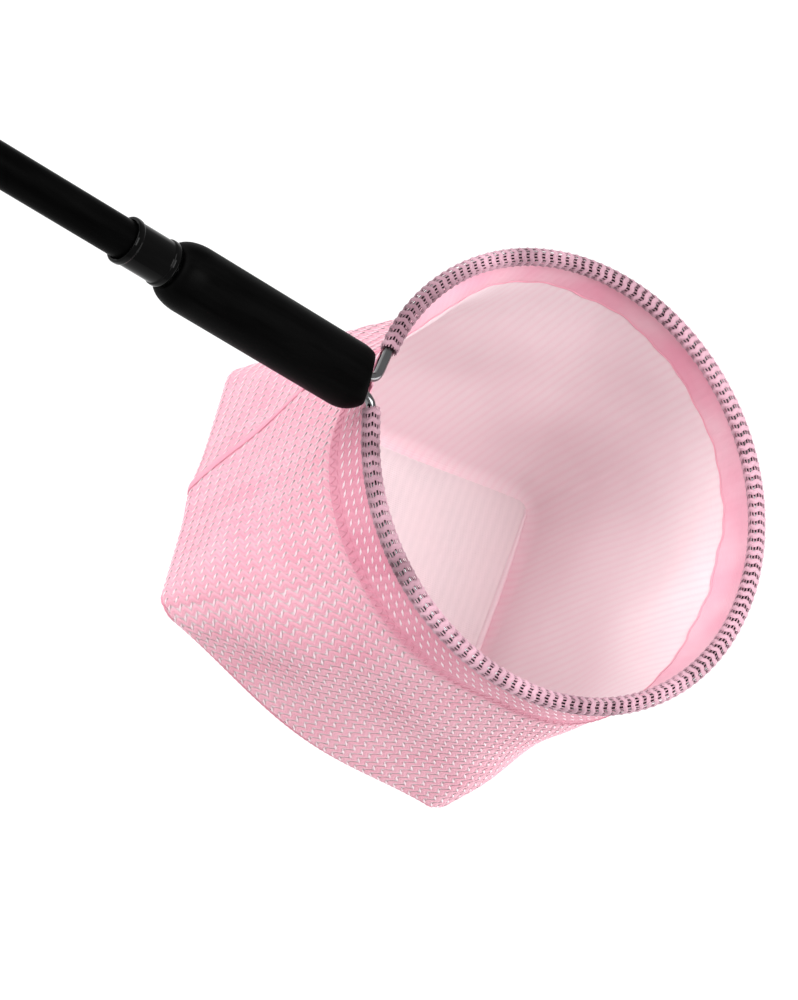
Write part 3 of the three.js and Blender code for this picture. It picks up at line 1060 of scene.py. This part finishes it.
@dataclass
class Bag:
    """The knitted bag: round at the hoop, square with blunt corners at the base. Sizes in mm.

    Places round it are turns of 0 to 1 from the handle's side towards -Y, and its four sides are
    counted from the near corner. A strand's pair of sizes is its width and its thickness.
    """

    hoop: Hoop

    # Form: each corner's own hang, and for each tuck its depth, turn, half width and deepest drop
    depth: float = 86.6
    top: float = 2.3
    half_diagonal: float = 53.6
    corner: float = 5.0
    near: tuple[float, float, float] = (-8.8, 12.3, -0.3)
    right: tuple[float, float, float] = (0.2, -6.2, -7.0)
    far: tuple[float, float, float] = (3.0, -2.5, 1.1)
    left: tuple[float, float, float] = (-3.2, -1.1, -3.3)
    belly: tuple[float, float, float, float] = (4.5, -3.0, 0.0, -0.1)
    crease: float = 0.7
    crease_width: float = 0.02
    seam: tuple[float, float] = (-0.085, 0.095)
    tucks: tuple[tuple[float, ...], ...] = ((7.3, 0.893, 0.074, 0.19), (5.6, 0.445, 0.09, 0.33))
    foot: tuple[float, float] = (1.8, 0.95)
    tuck_under: tuple[float, float, float, float] = (0.0, -2.5, 1.5, 0.0)
    under_start: float = 0.6
    ripple: float = 0.5
    ripples: tuple[tuple[float, ...], ...] = ((1.0, 3, 1.3, 0.0), (0.7, 7, -2.1, 0.3))
    hang: float = 3.0
    slope_step: float = 0.002
    base_step: float = 0.004

    # Knit: the zigzag's length, its swing to each side and the steps in one, and the floats' sizes
    wales: int = 150
    period: float = 4.3
    swing: float = 0.6
    zig_steps: int = 6
    strand_sides: int = 4
    strand: tuple[float, float] = (1.5, 0.26)
    band_period: float = 2.6
    band_swing: float = 0.42
    band_strand: tuple[float, float] = (2.1, 0.3)
    dash: tuple[float, float, float] = (0.9, 0.62, 0.2)
    dash_taper: tuple[float, float, float] = (0.2, 1.0, 0.2)
    dash_swing: float = 1.3
    dash_phase: float = 0.75
    dash_margins: tuple[float, float] = (0.4, 0.6)
    jitter: float = 0.06

    # Lining, pale as painted light through the cloth: rib and thickness, and for each place of painted shade
    # its strength, reach up, turn and half width
    lining: tuple[float, float] = (0.1, 0.16)
    lining_rows: int = 60
    lining_columns: int = 3
    behind: float = 0.2
    base_behind: float = 0.1
    rib_tone: float = 0.2
    base_painted_shade: float = 0.5
    lining_fleck: float = 0.6
    painted_shades: tuple[tuple[float, ...], ...] = ((0.65, 4.5, 0.5, 0.11), (0.4, 10.0, 0.8, 0.12))

    # Hem: heights over the wall, and the end that is turned in, with its waves' size, count and start
    band: float = 12.0
    strip: float = 3.0
    fold: tuple[float, float] = (2.25, 0.3)
    float_lift: float = 0.12
    band_lift: float = 0.55
    fold_lift: float = 0.62
    band_float_lift: float = 0.67
    fold_fleck: float = 0.4
    turned_in: float = 7.4
    end_waves: tuple[tuple[float, ...], ...] = ((0.4, 5, 0.2), (0.25, 17, 0.6), (0.2, 43, 0.1))
    end_reach: float = 1.6
    end_rows: int = 12
    end_fade: tuple[float, float] = (0.6, 0.8)
    end_lift: float = 0.22
    end_rim: tuple[float, float] = (0.5, 0.16)
    end_points: int = 600

    # Sleeve: the arcs round the wire in degrees, and the painted shade's mean, swing and place along it
    wrap: tuple[float, float] = (1.1, 0.42)
    wrap_arc: tuple[float, float] = (262, -82)
    wrap_points: int = 33
    eye: float = 0.22
    threads: int = 16
    thread: tuple[float, float] = (0.3, 0.26)
    thread_arc: tuple[float, float] = (255, -75)
    thread_sunk: float = 0.08
    thread_points: int = 240
    sleeve_painted_shade: tuple[float, float, float] = (0.62, 0.5, 0.97)
    wrap_fleck: float = 0.2
    thread_fleck: float = 0.1
    wire_step: float = 0.4
    bare_near: float = -3.2
    bare_far: float = 2.4

    # Seams: the overlock's radius, swell, twist and lift, and the inner fold's turns
    overlock: tuple[float, float, float, float] = (0.35, 0.12, 1.5, 0.3)
    overlock_sides: int = 10
    overlock_points: int = 900
    base_fold: tuple[float, float] = (1.7, 0.8)
    base_fold_turns: tuple[float, float] = (0.38, 0.622)
    base_fold_lift: float = -0.5
    base_fold_taper: tuple[float, float] = (0.05, 0.4)
    base_fold_points: int = 160
    side_seam: tuple[float, float, float] = (0.9, 1.3, 0.6)
    side_seam_gap: float = 0.6
    side_seam_end: float = 0.985
    side_seam_lift: float = 0.2
    side_seam_points: int = 420
    stitch: tuple[float, float] = (0.24, 0.14)
    stitch_waves: int = 160
    stitch_steps: int = 10
    stitch_rise: float = 1.5
    stitch_swing: float = 0.9
    stitch_lift: float = 0.78

    rng: np.random.Generator = field(default_factory=lambda: np.random.default_rng(11))

    @property
    def run(self) -> float:
        """Length of the wall from the hoop to the base."""
        return self.depth - self.top

    @property
    def half_side(self) -> float:
        """Half the side of the base's square."""
        return math.sqrt(0.5) * self.half_diagonal

    def perimeter(self, drop: np.ndarray) -> np.ndarray:
        """Length round the bag at a depth: the corners' circle and the four sides."""
        radius = (1 - drop) * self.hoop.radius + drop * self.corner
        return TURN * radius + 4 * math.sqrt(2) * drop * (self.half_diagonal - self.corner)

    def pull(self, turn: np.ndarray, drop: np.ndarray) -> np.ndarray:
        """How far the cloth stands off the plain shape.

        Slow waves ripple it, a side may belly out with the square of the depth, and a soft crease follows
        the side seam. Each tuck draws the cloth in under the hoop before it comes out again. Low down a
        side may turn in or out, and the foot turns in, each with the square of the last part of the depth.

        Args:
            turn: 0 to 1 once round.
            drop: 0 at the hoop and 1 at the base.

        Returns:
            The distance outwards.
        """
        side = np.floor(np.mod(turn * 4 - 0.5, 4)).astype(int) % 4
        middle = np.sin(math.pi * (np.mod(turn * 4, 1) - 0.5)) ** 2
        wave = sum(a * np.sin(TURN * (n * turn + d * drop + start)) for a, n, d, start in self.ripples)
        away = self.ripple * wave * np.sin(math.pi * drop)
        away += np.array(self.belly)[side] * middle * drop**2
        beside = apart(turn, self.seam_turn(drop))
        away += self.crease * drop * np.exp(-((beside / self.crease_width) ** 2))
        for depth, at, wide, low in self.tucks:
            beside = apart(turn, at)
            away -= depth * np.exp(-((beside / wide) ** 2)) * drop / low * np.exp(1 - drop / low)
        low = np.maximum(drop - self.under_start, 0) / (1 - self.under_start)
        away -= np.array(self.tuck_under)[side] * middle * low**2
        deep, start = self.foot
        return away - deep * (np.maximum(drop - start, 0) / (1 - start)) ** 2

    def seam_turn(self, drop: np.ndarray) -> np.ndarray:
        """The side seam's turn: it starts short of the handle's side and drifts just past it with depth."""
        return self.seam[0] + self.seam[1] * drop

    def level(self, turn: np.ndarray, drop: np.ndarray) -> np.ndarray:
        """Points of the bag's surface in the part's frame.

        A level is a square with rounded corners, whose corners shrink from the hoop's whole circle to the
        base's blunt ones. Each corner then hangs to its own place, more with depth and evenly along the
        sides between corners.

        Args:
            turn: 0 to 1 once round, from the handle's side towards -Y.
            drop: 0 at the hoop and 1 at the base.

        Returns:
            The points.
        """
        turn, drop = np.broadcast_arrays(np.mod(turn, 1.0), drop)
        quarter = np.floor(turn * 4)
        t = turn * 4 - quarter - 0.5
        reach = drop * (self.half_diagonal - self.corner)
        radius = (1 - drop) * self.hoop.radius + drop * self.corner
        arc, side = math.pi / 2 * radius, math.sqrt(2) * reach
        half = 0.5 * arc / (arc + side)
        middle = math.pi + (quarter + 0.5) * math.pi / 2
        way = middle + np.sign(t) * np.minimum(np.abs(t), half) / half * math.pi / 4
        along = np.maximum(0, np.abs(t) - half) / np.maximum(0.5 - half, 1e-9) * side / 2
        flank = middle + np.sign(t) * 3 * math.pi / 4
        r = radius + self.pull(turn, drop)
        x = self.hoop.radius + reach * np.cos(middle) + r * np.cos(way) + along * np.cos(flank)
        y = reach * np.sin(middle) + r * np.sin(way) + along * np.sin(flank)
        place = self.hoop.placed(np.stack([x, y, -self.top - drop * self.run], -1))
        shifts = np.array([self.near, self.right, self.far, self.left])
        u = np.mod(turn * 4 - 0.5, 4)
        k, f = np.floor(u).astype(int) % 4, (u - np.floor(u))[..., None]
        return place + (shifts[k] * (1 - f) + shifts[(k + 1) % 4] * f) * drop[..., None]

    def outward(self, turn: np.ndarray, drop: np.ndarray) -> np.ndarray:
        """The surface's outward direction.

        Args:
            turn: 0 to 1 once round.
            drop: 0 at the hoop and 1 at the base.

        Returns:
            The cross product of the surface's slopes down and round, at a length of one.
        """
        e = self.slope_step
        low, high = np.clip(drop - e, 0, 1), np.clip(drop + e, 0, 1)
        round_way = self.level(turn + e, drop) - self.level(turn - e, drop)
        down = self.level(turn, high) - self.level(turn, low)
        return unit(np.cross(down, round_way))

    def laid(
        self, turn: np.ndarray, drop: np.ndarray, lift: float | np.ndarray
    ) -> tuple[np.ndarray, np.ndarray]:
        """Points at a height over the bag's surface, and the outward directions there."""
        out = self.outward(turn, drop)
        return self.level(turn, drop) + lift * out, out

    def wave(self, run: np.ndarray, pitch: float) -> np.ndarray:
        """A cosine of the length along a strand, repeated after each pitch."""
        return np.cos(TURN * run / pitch)

    def flecks(self, number: int, share: float = 1.0) -> np.ndarray:
        """Shades for strands, drawn evenly from the top share of 0 to 1."""
        return 1 - share + share * self.rng.random(number)

    def wale_tubes(
        self, first: float, last: float, lift: float, size: tuple[float, float], pitch: float, swing: float
    ) -> np.ndarray:
        """Strands that run down the bag side by side.

        Args:
            first: drop at the upper end.
            last: drop at the lower end.
            lift: height over the surface.
            size: strand width and thickness.
            pitch: length of one zigzag.
            swing: how far the strand zigzags to each side.

        Returns:
            The strands' grid: each line keeps to its share of the turn, moved across by the zigzag.
        """
        steps = int(math.ceil((last - first) * self.run / pitch * self.zig_steps)) + 2
        drop = np.linspace(first, last, steps)
        zig = swing * self.wave(drop * self.run, pitch)
        turn = (np.arange(self.wales)[:, None] + 0.5) / self.wales + zig / self.perimeter(drop)
        place, out = self.laid(turn, np.broadcast_to(drop, turn.shape), lift)
        return tubes(place, out, *size, self.strand_sides, False)

    def dash_tubes(self, first: float, last: float, lift: float, pitch: float) -> np.ndarray:
        """Short floats between the wales, one to a zigzag, along the flank where it moves on.

        Args:
            first: drop at the upper end.
            last: drop at the lower end.
            lift: height over the surface.
            pitch: length of one zigzag.

        Returns:
            The floats' grid: three steps each, wide in the middle and narrow at the ends.
        """
        reach, wide, thick = self.dash
        reach *= pitch / self.period
        top = first * self.run / pitch - self.dash_margins[0]
        bottom = last * self.run / pitch - self.dash_margins[1]
        row = np.arange(math.ceil(top), math.floor(bottom) + 1) + self.dash_phase
        wale, row = (a.ravel()[:, None] for a in np.meshgrid(np.arange(self.wales), row))
        jitter = self.rng.normal(0, self.jitter, (2, len(wale), 1))
        run = row * pitch + reach * np.array([-1, 0, 1]) + jitter[0]
        drop = np.clip(run / self.run, 0, 1)
        across = self.dash_swing * self.swing * self.wave(run, pitch) + jitter[1]
        turn = (wale + 1.0) / self.wales + across / self.perimeter(drop)
        place, out = self.laid(turn, drop, lift)
        return tubes(place, out, wide * np.array(self.dash_taper), thick, self.strand_sides, False)

    def cord(
        self,
        name: str,
        line: tuple[np.ndarray, np.ndarray],
        size: tuple[float | np.ndarray, float],
        sides: int,
        loop: bool,
        fleck: float,
    ) -> Piece:
        """One strand as a piece of its own.

        Args:
            name: the piece's name.
            line: its points and the outward directions there.
            size: its width, for all points or for each, and its thickness.
            sides: corners of its section.
            loop: whether it closes on itself.
            fleck: its shade of 0 to 1.

        Returns:
            The piece, not yet built.
        """
        place, out = line
        grid = tubes(place[None], out[None], *size, sides, loop)
        return Piece(name).strands(grid, loop, np.array([fleck]))

    def hem_end(self, turn: np.ndarray) -> np.ndarray:
        """Depth of the turned-in hem's uneven end: sines of the turn round a mean depth."""
        return self.turned_in + sum(a * np.sin(TURN * (n * turn + start)) for a, n, start in self.end_waves)

    # The shell's pale inner colour is painted light through the cloth, and its painted shades turn it pinker
    # low down.
    def shell(self) -> tuple[np.ndarray, np.ndarray]:
        """The wall's lining: a thin closed shell just behind the wales, with a soft rib on each wale.

        Returns:
            The grid, down the inner skin and up the outer one, and its yarn values. The side is 1 on the
            turned-in hem and near 0 below it, wavers with the ribs, and grows with the painted shade low
            down.
        """
        depth, thick = self.lining
        at_hem = (self.turned_in + np.linspace(-self.end_reach, self.end_reach, self.end_rows)) / self.run
        drop = np.sort(np.append(edged(0.0, 1.0, self.lining_rows), at_hem))
        inner = np.repeat([1.0, 0.0], len(drop))[:, None]
        drop = np.concatenate([drop, drop[::-1]])[:, None]
        columns = self.lining_columns * self.wales
        turn = np.arange(columns)[None] / columns
        rib = (1 + np.cos(TURN * self.wales * turn)) / 2
        turn, drop = np.broadcast_arrays(turn, drop)
        lift = -self.behind + thick / 2 - inner * (thick + depth * rib)
        fade, bias = self.end_fade
        tone = np.clip((self.hem_end(turn) - drop * self.run) / fade + bias, 0, 1)
        shade = np.zeros(turn.shape)
        # Painted shade: darker pink low on the wall beside the base's inner fold and at the left foot.
        for strength, reach, at, wide in self.painted_shades:
            upwards = np.exp(-((1 - drop) * self.run / reach))
            shade += strength * upwards * np.exp(-(((turn - at) / wide) ** 4))
        tone = np.maximum(tone, shade) + self.rib_tone * (rib - 0.5) + self.rib_tone / 4
        fleck = np.full(drop.shape, self.lining_fleck)
        grid, _ = self.laid(turn, drop, lift[..., None])
        return grid, np.stack([np.clip(tone, 0, 1), drop * self.run, fleck], -1)

    def wall(self, finishes: Finishes) -> list[bpy.types.Object]:
        """Builds the wall: zigzag wales outside, a ribbed lining inside, pale as painted light, and floats
        between the wales.

        Args:
            finishes: the net's materials.

        Returns:
            The knit, the lining and the floats.
        """
        knit = Piece("net_wall_knit", False)
        grid = self.wale_tubes(0.0, 1.0, 0.0, self.strand, self.period, self.swing)
        knit.strands(grid, False, self.flecks(self.wales))
        grid, yarn = self.shell()
        lining = Piece("net_wall_lining_painted_light").skin(grid, Ends.LOOP, yarn)
        floats = Piece("net_wall_floats", False)
        grid = self.dash_tubes(self.band / self.run, 1.0, self.float_lift, self.period)
        floats.strands(grid, False, self.flecks(len(grid)))
        return [
            knit.build(finishes.net, Body.HEAD, Slot.NET, "net_wall"),
            lining.build(finishes.lining, Body.HEAD, Slot.NET),
            floats.build(finishes.floats, Body.HEAD, Slot.NET),
        ]

    def hem_band(self, finishes: Finishes) -> list[bpy.types.Object]:
        """Builds the turned-down band: wales outside the wall, its edge folded again, and its end inside.

        Args:
            finishes: the net's materials.

        Returns:
            The knit, the folded edge, the floats and the end inside.
        """
        drop, edge = self.band / self.run, (self.band - self.strip) / self.run
        band = Piece("hem_band_knit", False)
        grid = self.wale_tubes(
            0.0, drop, self.band_lift, self.band_strand, self.band_period, self.band_swing
        )
        band.strands(grid, False, self.flecks(self.wales))
        fold = Piece("hem_band_edge", False)
        grid = self.wale_tubes(edge, drop, self.fold_lift, self.fold, self.period, 0.0)
        fold.strands(grid, False, self.flecks(self.wales, self.fold_fleck))
        floats = Piece("hem_band_floats", False)
        grid = self.dash_tubes(0.0, edge, self.band_float_lift, self.band_period)
        floats.strands(grid, False, self.flecks(len(grid)))
        turn = np.arange(self.end_points) / self.end_points
        line = self.laid(turn, self.hem_end(turn) / self.run, -(self.behind + self.end_lift))
        rim = self.cord("hem_band_end", line, self.end_rim, sides=8, loop=True, fleck=0.2)
        return [
            band.build(finishes.hem, Body.HEAD, Slot.HEM, "hem_band"),
            fold.build(finishes.hem, Body.HEAD, Slot.HEM),
            floats.build(finishes.floats, Body.HEAD, Slot.HEM),
            rim.build(finishes.seam, Body.HEAD, Slot.HEM),
        ]

    def hem_sleeve(self, finishes: Finishes) -> bpy.types.Object:
        """Builds the sleeve: strands that wrap the wire in fine zigzags, and threads that run along it, both
        with painted shade.

        Args:
            finishes: the net's materials.

        Returns:
            The sleeve.
        """
        run = lengths(self.hoop.wire_line())
        bend = self.hoop.leg_points * self.hoop.span_steps
        start, stop = run[bend] + self.bare_far, run[-1 - bend] - self.bare_near
        count = int(round((stop - start) / TURN / self.hoop.radius * self.wales))
        middle = self.hoop.sleeve - self.wrap[1] / 2
        around = np.radians(np.linspace(*self.wrap_arc, self.wrap_points))
        zig = self.eye * np.cos(2 * middle * around / self.period * TURN)
        share = (np.arange(count) + 0.5) / count
        place = start + share[:, None] * (stop - start) + zig
        around = np.broadcast_to(around, place.shape)
        # Painted shade along the ring: the wraps turn towards the dark deep colour, times a random fleck.
        mean, swing, at = self.sleeve_painted_shade
        worn_and_painted_shade = np.clip(mean + swing * np.cos(TURN * (share - at)), 0, 1)
        worn_and_painted_shade = worn_and_painted_shade * self.flecks(count, self.wrap_fleck)
        piece = Piece("hem_sleeve_knit", False)
        piece.strands(self.wrap_tubes(place, around, middle, self.wrap), False, worn_and_painted_shade)
        # Threads under the wraps, mostly in the dark deep colour: painted shade in the gaps over the wire.
        even = np.linspace(start, stop, self.thread_points)
        place = np.broadcast_to(even, (self.threads, self.thread_points))
        around = np.radians(np.linspace(*self.thread_arc, self.threads))[:, None] + 0 * place
        along = self.wrap_tubes(place, around, middle - self.thread_sunk, self.thread)
        piece.strands(along, False, self.flecks(self.threads, self.thread_fleck))
        return piece.build(finishes.sleeve, Body.HEAD, Slot.HEM, "hem_sleeve")

    def wrap_tubes(
        self, place: np.ndarray, around: np.ndarray, off: float, size: tuple[float, float]
    ) -> np.ndarray:
        """Strands on a tube round the wire.

        Args:
            place: lengths along the wire.
            around: angles round the wire, from its outer side over the top.
            off: distance from the wire's middle.
            size: strand width and thickness.

        Returns:
            The grid: the wire's point at a length, plus a step away from the wire at the angle.
        """
        line = self.hoop.wire_line()
        run = lengths(line)
        before, here, after = (
            np.stack([np.interp(place + step, run, axis) for axis in line.T], -1)
            for step in (-self.wire_step, 0.0, self.wire_step)
        )
        up = self.hoop.turned(UP)
        outer = unit(np.cross(up, after - before))
        away = np.cos(around)[..., None] * outer + np.sin(around)[..., None] * up
        return tubes(here + off * away, away, *size, self.strand_sides, False)

    def base_place(self, u: np.ndarray, w: np.ndarray) -> np.ndarray:
        """Points of the base: a surface between the wall's four lower edges, which hangs in the middle.

        Args:
            u: -1 to 1 from the left side to the right side.
            w: -1 to 1 from the near side to the far side.

        Returns:
            The points: the mix of the two edges across, plus the mix of the two edges along, less the mix
            of the four corners.
        """
        a, b, foot = (u + 1) / 2, (w + 1) / 2, np.ones(np.broadcast(u, w).shape)
        south, north = self.level(0.125 + 0.25 * a, foot), self.level(0.875 - 0.25 * a, foot)
        west, east = self.level(0.125 - 0.25 * b, foot), self.level(0.375 + 0.25 * b, foot)
        c = self.level(np.array([0.125, 0.375, 0.625, 0.875]), np.ones(4))
        a, b = a[..., None], b[..., None]
        corners = (c[0] * (1 - a) + c[1] * a) * (1 - b) + (c[3] * (1 - a) + c[2] * a) * b
        place = (1 - b) * south + b * north + (1 - a) * west + a * east - corners
        hang = self.hang * (1 - np.clip(u, -1, 1) ** 4) * (1 - np.clip(w, -1, 1) ** 4)
        return place - hang[..., None] * self.hoop.turned(UP)

    def base_down(self, u: np.ndarray, w: np.ndarray) -> np.ndarray:
        """The base's direction away from the bag.

        Args:
            u: -1 to 1 from the left side to the right side.
            w: -1 to 1 from the near side to the far side.

        Returns:
            The cross product of the base's slopes along and across, at a length of one.
        """
        e = self.base_step
        across = self.base_place(u + e, w) - self.base_place(u - e, w)
        along = self.base_place(u, w + e) - self.base_place(u, w - e)
        return unit(np.cross(along, across))

    def base_tubes(self) -> np.ndarray:
        """Strands that run over the base side by side, zigzagging as the wales do down the wall.

        Returns:
            The strands' grid: even lines, each moved across by the zigzag, which dies out at the sides.
        """
        half = self.half_side
        u = np.linspace(-1, 1, int(half) + 2)[1:-1, None]
        w = np.linspace(-1, 1, int(2 * half / self.period * self.zig_steps))[None]
        u = u + self.swing * self.wave(half * w, self.period) / half * (1 - np.abs(u) ** 6)
        w = np.broadcast_to(w, u.shape) + 0 * u
        return tubes(self.base_place(u, w), self.base_down(u, w), *self.strand, self.strand_sides, False)

    def base_shell(self) -> tuple[np.ndarray, np.ndarray]:
        """The base's lining: a thin closed shell just above its strands, with a soft rib on each strand.

        Returns:
            The grid, whose rings run across on the upper skin and back on the lower one, and its yarn
            values. The side wavers with the ribs, and on the upper skin it grows away from the far fold as
            painted shade.
        """
        half, (depth, thick) = self.half_side, self.lining
        w = edged(-1, 1, 2 * int(half))
        upper = np.repeat([1.0, 0.0], len(w))[None]
        w = np.concatenate([w, w[::-1]])[None]
        u = edged(-1, 1, 4 * int(half))[:, None]
        rib = (1 + np.cos(TURN * int(half) * u / 2)) / 2
        u, w = np.broadcast_arrays(u, w)
        lift = -self.behind - self.base_behind + thick / 2 - upper * (thick + depth * rib)
        grid = self.base_place(u, w) + lift[..., None] * self.base_down(u, w)
        # Painted shade: the upper skin turns towards the grey outer colour away from the far fold.
        tone = self.rib_tone / 2 * rib + self.base_painted_shade * upper * np.clip(1 - u, 0, 1)
        return grid, np.stack([tone, half * w, np.full(u.shape, self.lining_fleck)], -1)

    def base(self, finishes: Finishes) -> list[bpy.types.Object]:
        """Builds the base: zigzag strands below and a ribbed lining inside, pale as painted light.

        Args:
            finishes: the net's materials.

        Returns:
            The knit and the lining.
        """
        grid = self.base_tubes()
        knit = Piece("net_base_knit", False).strands(grid, False, self.flecks(len(grid)))
        grid, yarn = self.base_shell()
        lining = Piece("net_base_lining_painted_light").skin(grid, Ends.STRIP, yarn)
        return [
            knit.build(finishes.net, Body.HEAD, Slot.NET, "net_base"),
            lining.build(finishes.base_lining, Body.HEAD, Slot.NET),
        ]

    def overlocked(self, line: np.ndarray, out: np.ndarray) -> np.ndarray:
        """An overlocked seam round a closed line: a round section whose radius swells in a spiral along it.

        Args:
            line: the seam's line.
            out: the direction away from the cloth.

        Returns:
            The grid, with one strand.
        """
        radius, swell, twist, _ = self.overlock
        grid = tubes(line[None], out[None], 2, 2, self.overlock_sides, True)
        angle = np.arange(self.overlock_sides) / self.overlock_sides * TURN
        spiral = np.sin(angle[None, :] + TURN * lengths(line)[:, None] / twist)
        size = radius * (1 + swell * spiral)
        return line[None, :, None] + (grid - line[None, :, None]) * size[None, :, :, None]

    def seams(self, finishes: Finishes) -> None:
        """Builds the base's seam, its fold inside, the side seam and the hem's zigzag thread.

        Args:
            finishes: the net's materials.
        """
        turn = np.arange(self.overlock_points) / self.overlock_points
        grid = self.overlocked(*self.laid(turn, np.ones_like(turn), self.overlock[3]))
        seam = Piece("base_seam_ridge").strands(grid, loop=True, fleck=np.array([0.3]))
        seam.build(finishes.seam, Body.HEAD, Slot.THREAD, "base_seam")
        turn = np.linspace(*self.base_fold_turns, self.base_fold_points)
        line = self.laid(turn, np.ones_like(turn), self.base_fold_lift)
        (wide, thick), (start, power) = self.base_fold, self.base_fold_taper
        taper = np.sin(np.linspace(start, math.pi - start, self.base_fold_points)) ** power
        fold = self.cord("base_seam_fold", line, (wide * taper, thick), sides=8, loop=False, fleck=0.5)
        fold.build(finishes.lining, Body.HEAD, Slot.THREAD)
        upper = (self.band + self.side_seam_gap) / self.run
        drop = np.linspace(upper, self.side_seam_end, self.side_seam_points)
        line = self.laid(self.seam_turn(drop), drop, self.side_seam_lift)
        narrow, widening, thick = self.side_seam
        size = (narrow + widening * drop, thick)
        side = self.cord("side_seam_ridge", line, size, sides=10, loop=False, fleck=0.6)
        side.build(finishes.seam, Body.HEAD, Slot.THREAD, "side_seam")
        points = self.stitch_steps * self.stitch_waves
        turn = np.arange(points) / points
        zig = self.stitch_swing * np.sin(TURN * self.stitch_waves * turn)
        line = self.laid(turn, (self.band - self.stitch_rise + zig) / self.run, self.stitch_lift)
        stitch = self.cord("hem_stitch_thread", line, self.stitch, sides=6, loop=True, fleck=0.5)
        stitch.build(finishes.thread, Body.HEAD, Slot.THREAD, "hem_stitch")

    def build(self, finishes: Finishes) -> None:
        """Builds the bag: its sleeve, hem band, wall, base and seams.

        Args:
            finishes: the net's materials.
        """
        sleeve, band = self.hem_sleeve(finishes), self.hem_band(finishes)
        wall, base = self.wall(finishes), self.base(finishes)
        self.seams(finishes)


@dataclass
class Studio:
    """Floor, light and camera. Sizes in metres, and each lamp as name, place, aim, side and watts."""

    floor: float = -0.3
    reach: float = 40.0
    rings: int = 24
    sides: int = 96
    eye: tuple[float, float, float] = (-0.23381, -0.29381, 0.48088)
    right: tuple[float, float, float] = (0.70538, 0.18636, 0.6839)
    up: tuple[float, float, float] = (-0.40833, 0.89548, 0.17714)
    back: tuple[float, float, float] = (-0.5794, -0.40421, 0.70775)
    sensor: float = 36.0
    lens: float = 121.7
    ambient: float = 0.5
    lamps: tuple[tuple, ...] = (
        ("key_lamp", (-1.35, 0.3, 0.5), (0.15, 0, 0), 1.2, 21),
        ("front_lamp", (1.6, -0.3, 0.35), (0.2, 0, 0), 1.2, 13),
        ("top_lamp", (0.12, -0.25, 1.55), (0.2, 0, 0), 1.0, 26),
    )

    def ground(self) -> None:
        """Builds the floor: rings of points that widen by the square."""
        radius = np.linspace(0, 1, self.rings)[1:, None] ** 2 * self.reach
        angle = np.arange(self.sides) / self.sides * TURN
        level = np.full((self.rings - 1, self.sides), self.floor)
        disc = np.stack([radius * np.cos(angle), radius * np.sin(angle), level], -1).reshape(-1, 3)
        _, i, j = cells(1, self.rings - 2, self.sides)
        quads = i * self.sides + j % self.sides
        mesh = bpy.data.meshes.new("studio_floor")
        mesh.from_pydata(disc.tolist(), [], [*quads.tolist(), list(range(self.sides))])
        mesh.materials.append(StudioFloor().material())
        floor = bpy.data.objects.new("studio_floor", mesh)
        bpy.context.scene.collection.objects.link(floor)

    def lamp(self, name: str, spot: tuple, aim: tuple, size: float, power: float) -> None:
        """Adds a soft square lamp.

        Args:
            name: its name.
            spot: where it hangs, in metres.
            aim: what it points at.
            size: its side.
            power: its watts.
        """
        light = bpy.data.lights.new(name, "AREA")
        light.size, light.energy = size, power
        lamp = bpy.data.objects.new(name, light)
        away = unit(np.array(spot) - np.array(aim))
        side = unit(np.cross([0.0, 1.0, 0.1], away))
        axes = np.stack([side, np.cross(away, side), away], 1)
        lamp.matrix_world = Matrix.Translation(spot) @ Matrix(axes.tolist()).to_4x4()
        bpy.context.scene.collection.objects.link(lamp)

    def build(self) -> None:
        """Builds the floor, the lamps, the sky and the camera."""
        self.ground()
        for lamp in self.lamps:
            self.lamp(*lamp)
        world = bpy.data.worlds.new("studio_sky")
        world.use_nodes = True
        sky = world.node_tree.nodes["Background"]
        sky.inputs["Color"].default_value = (1.0, 1.0, 1.0, 1.0)
        sky.inputs["Strength"].default_value = self.ambient
        bpy.context.scene.world = world
        data = bpy.data.cameras.new("photo_camera")
        data.sensor_fit, data.sensor_height, data.lens = "VERTICAL", self.sensor, self.lens
        data.clip_start, data.clip_end = 0.01, 200.0
        camera = bpy.data.objects.new("photo_camera", data)
        axes = np.stack([self.right, self.up, self.back], 1)
        camera.matrix_world = Matrix.Translation(self.eye) @ Matrix(axes.tolist()).to_4x4()
        bpy.context.scene.collection.objects.link(camera)
        bpy.context.scene.camera = camera
        bpy.context.scene.view_settings.view_transform = "Standard"


def main() -> None:
    """Builds the net from the camera inwards."""
    logging.basicConfig(level=logging.INFO, format="%(message)s")
    Studio().build()
    finishes = Finishes()
    Handle().build(finishes)
    Slides().build(finishes)
    hoop = Hoop()
    hoop.build(finishes)
    Bag(hoop).build(finishes)


if __name__ == "__main__":
    main()
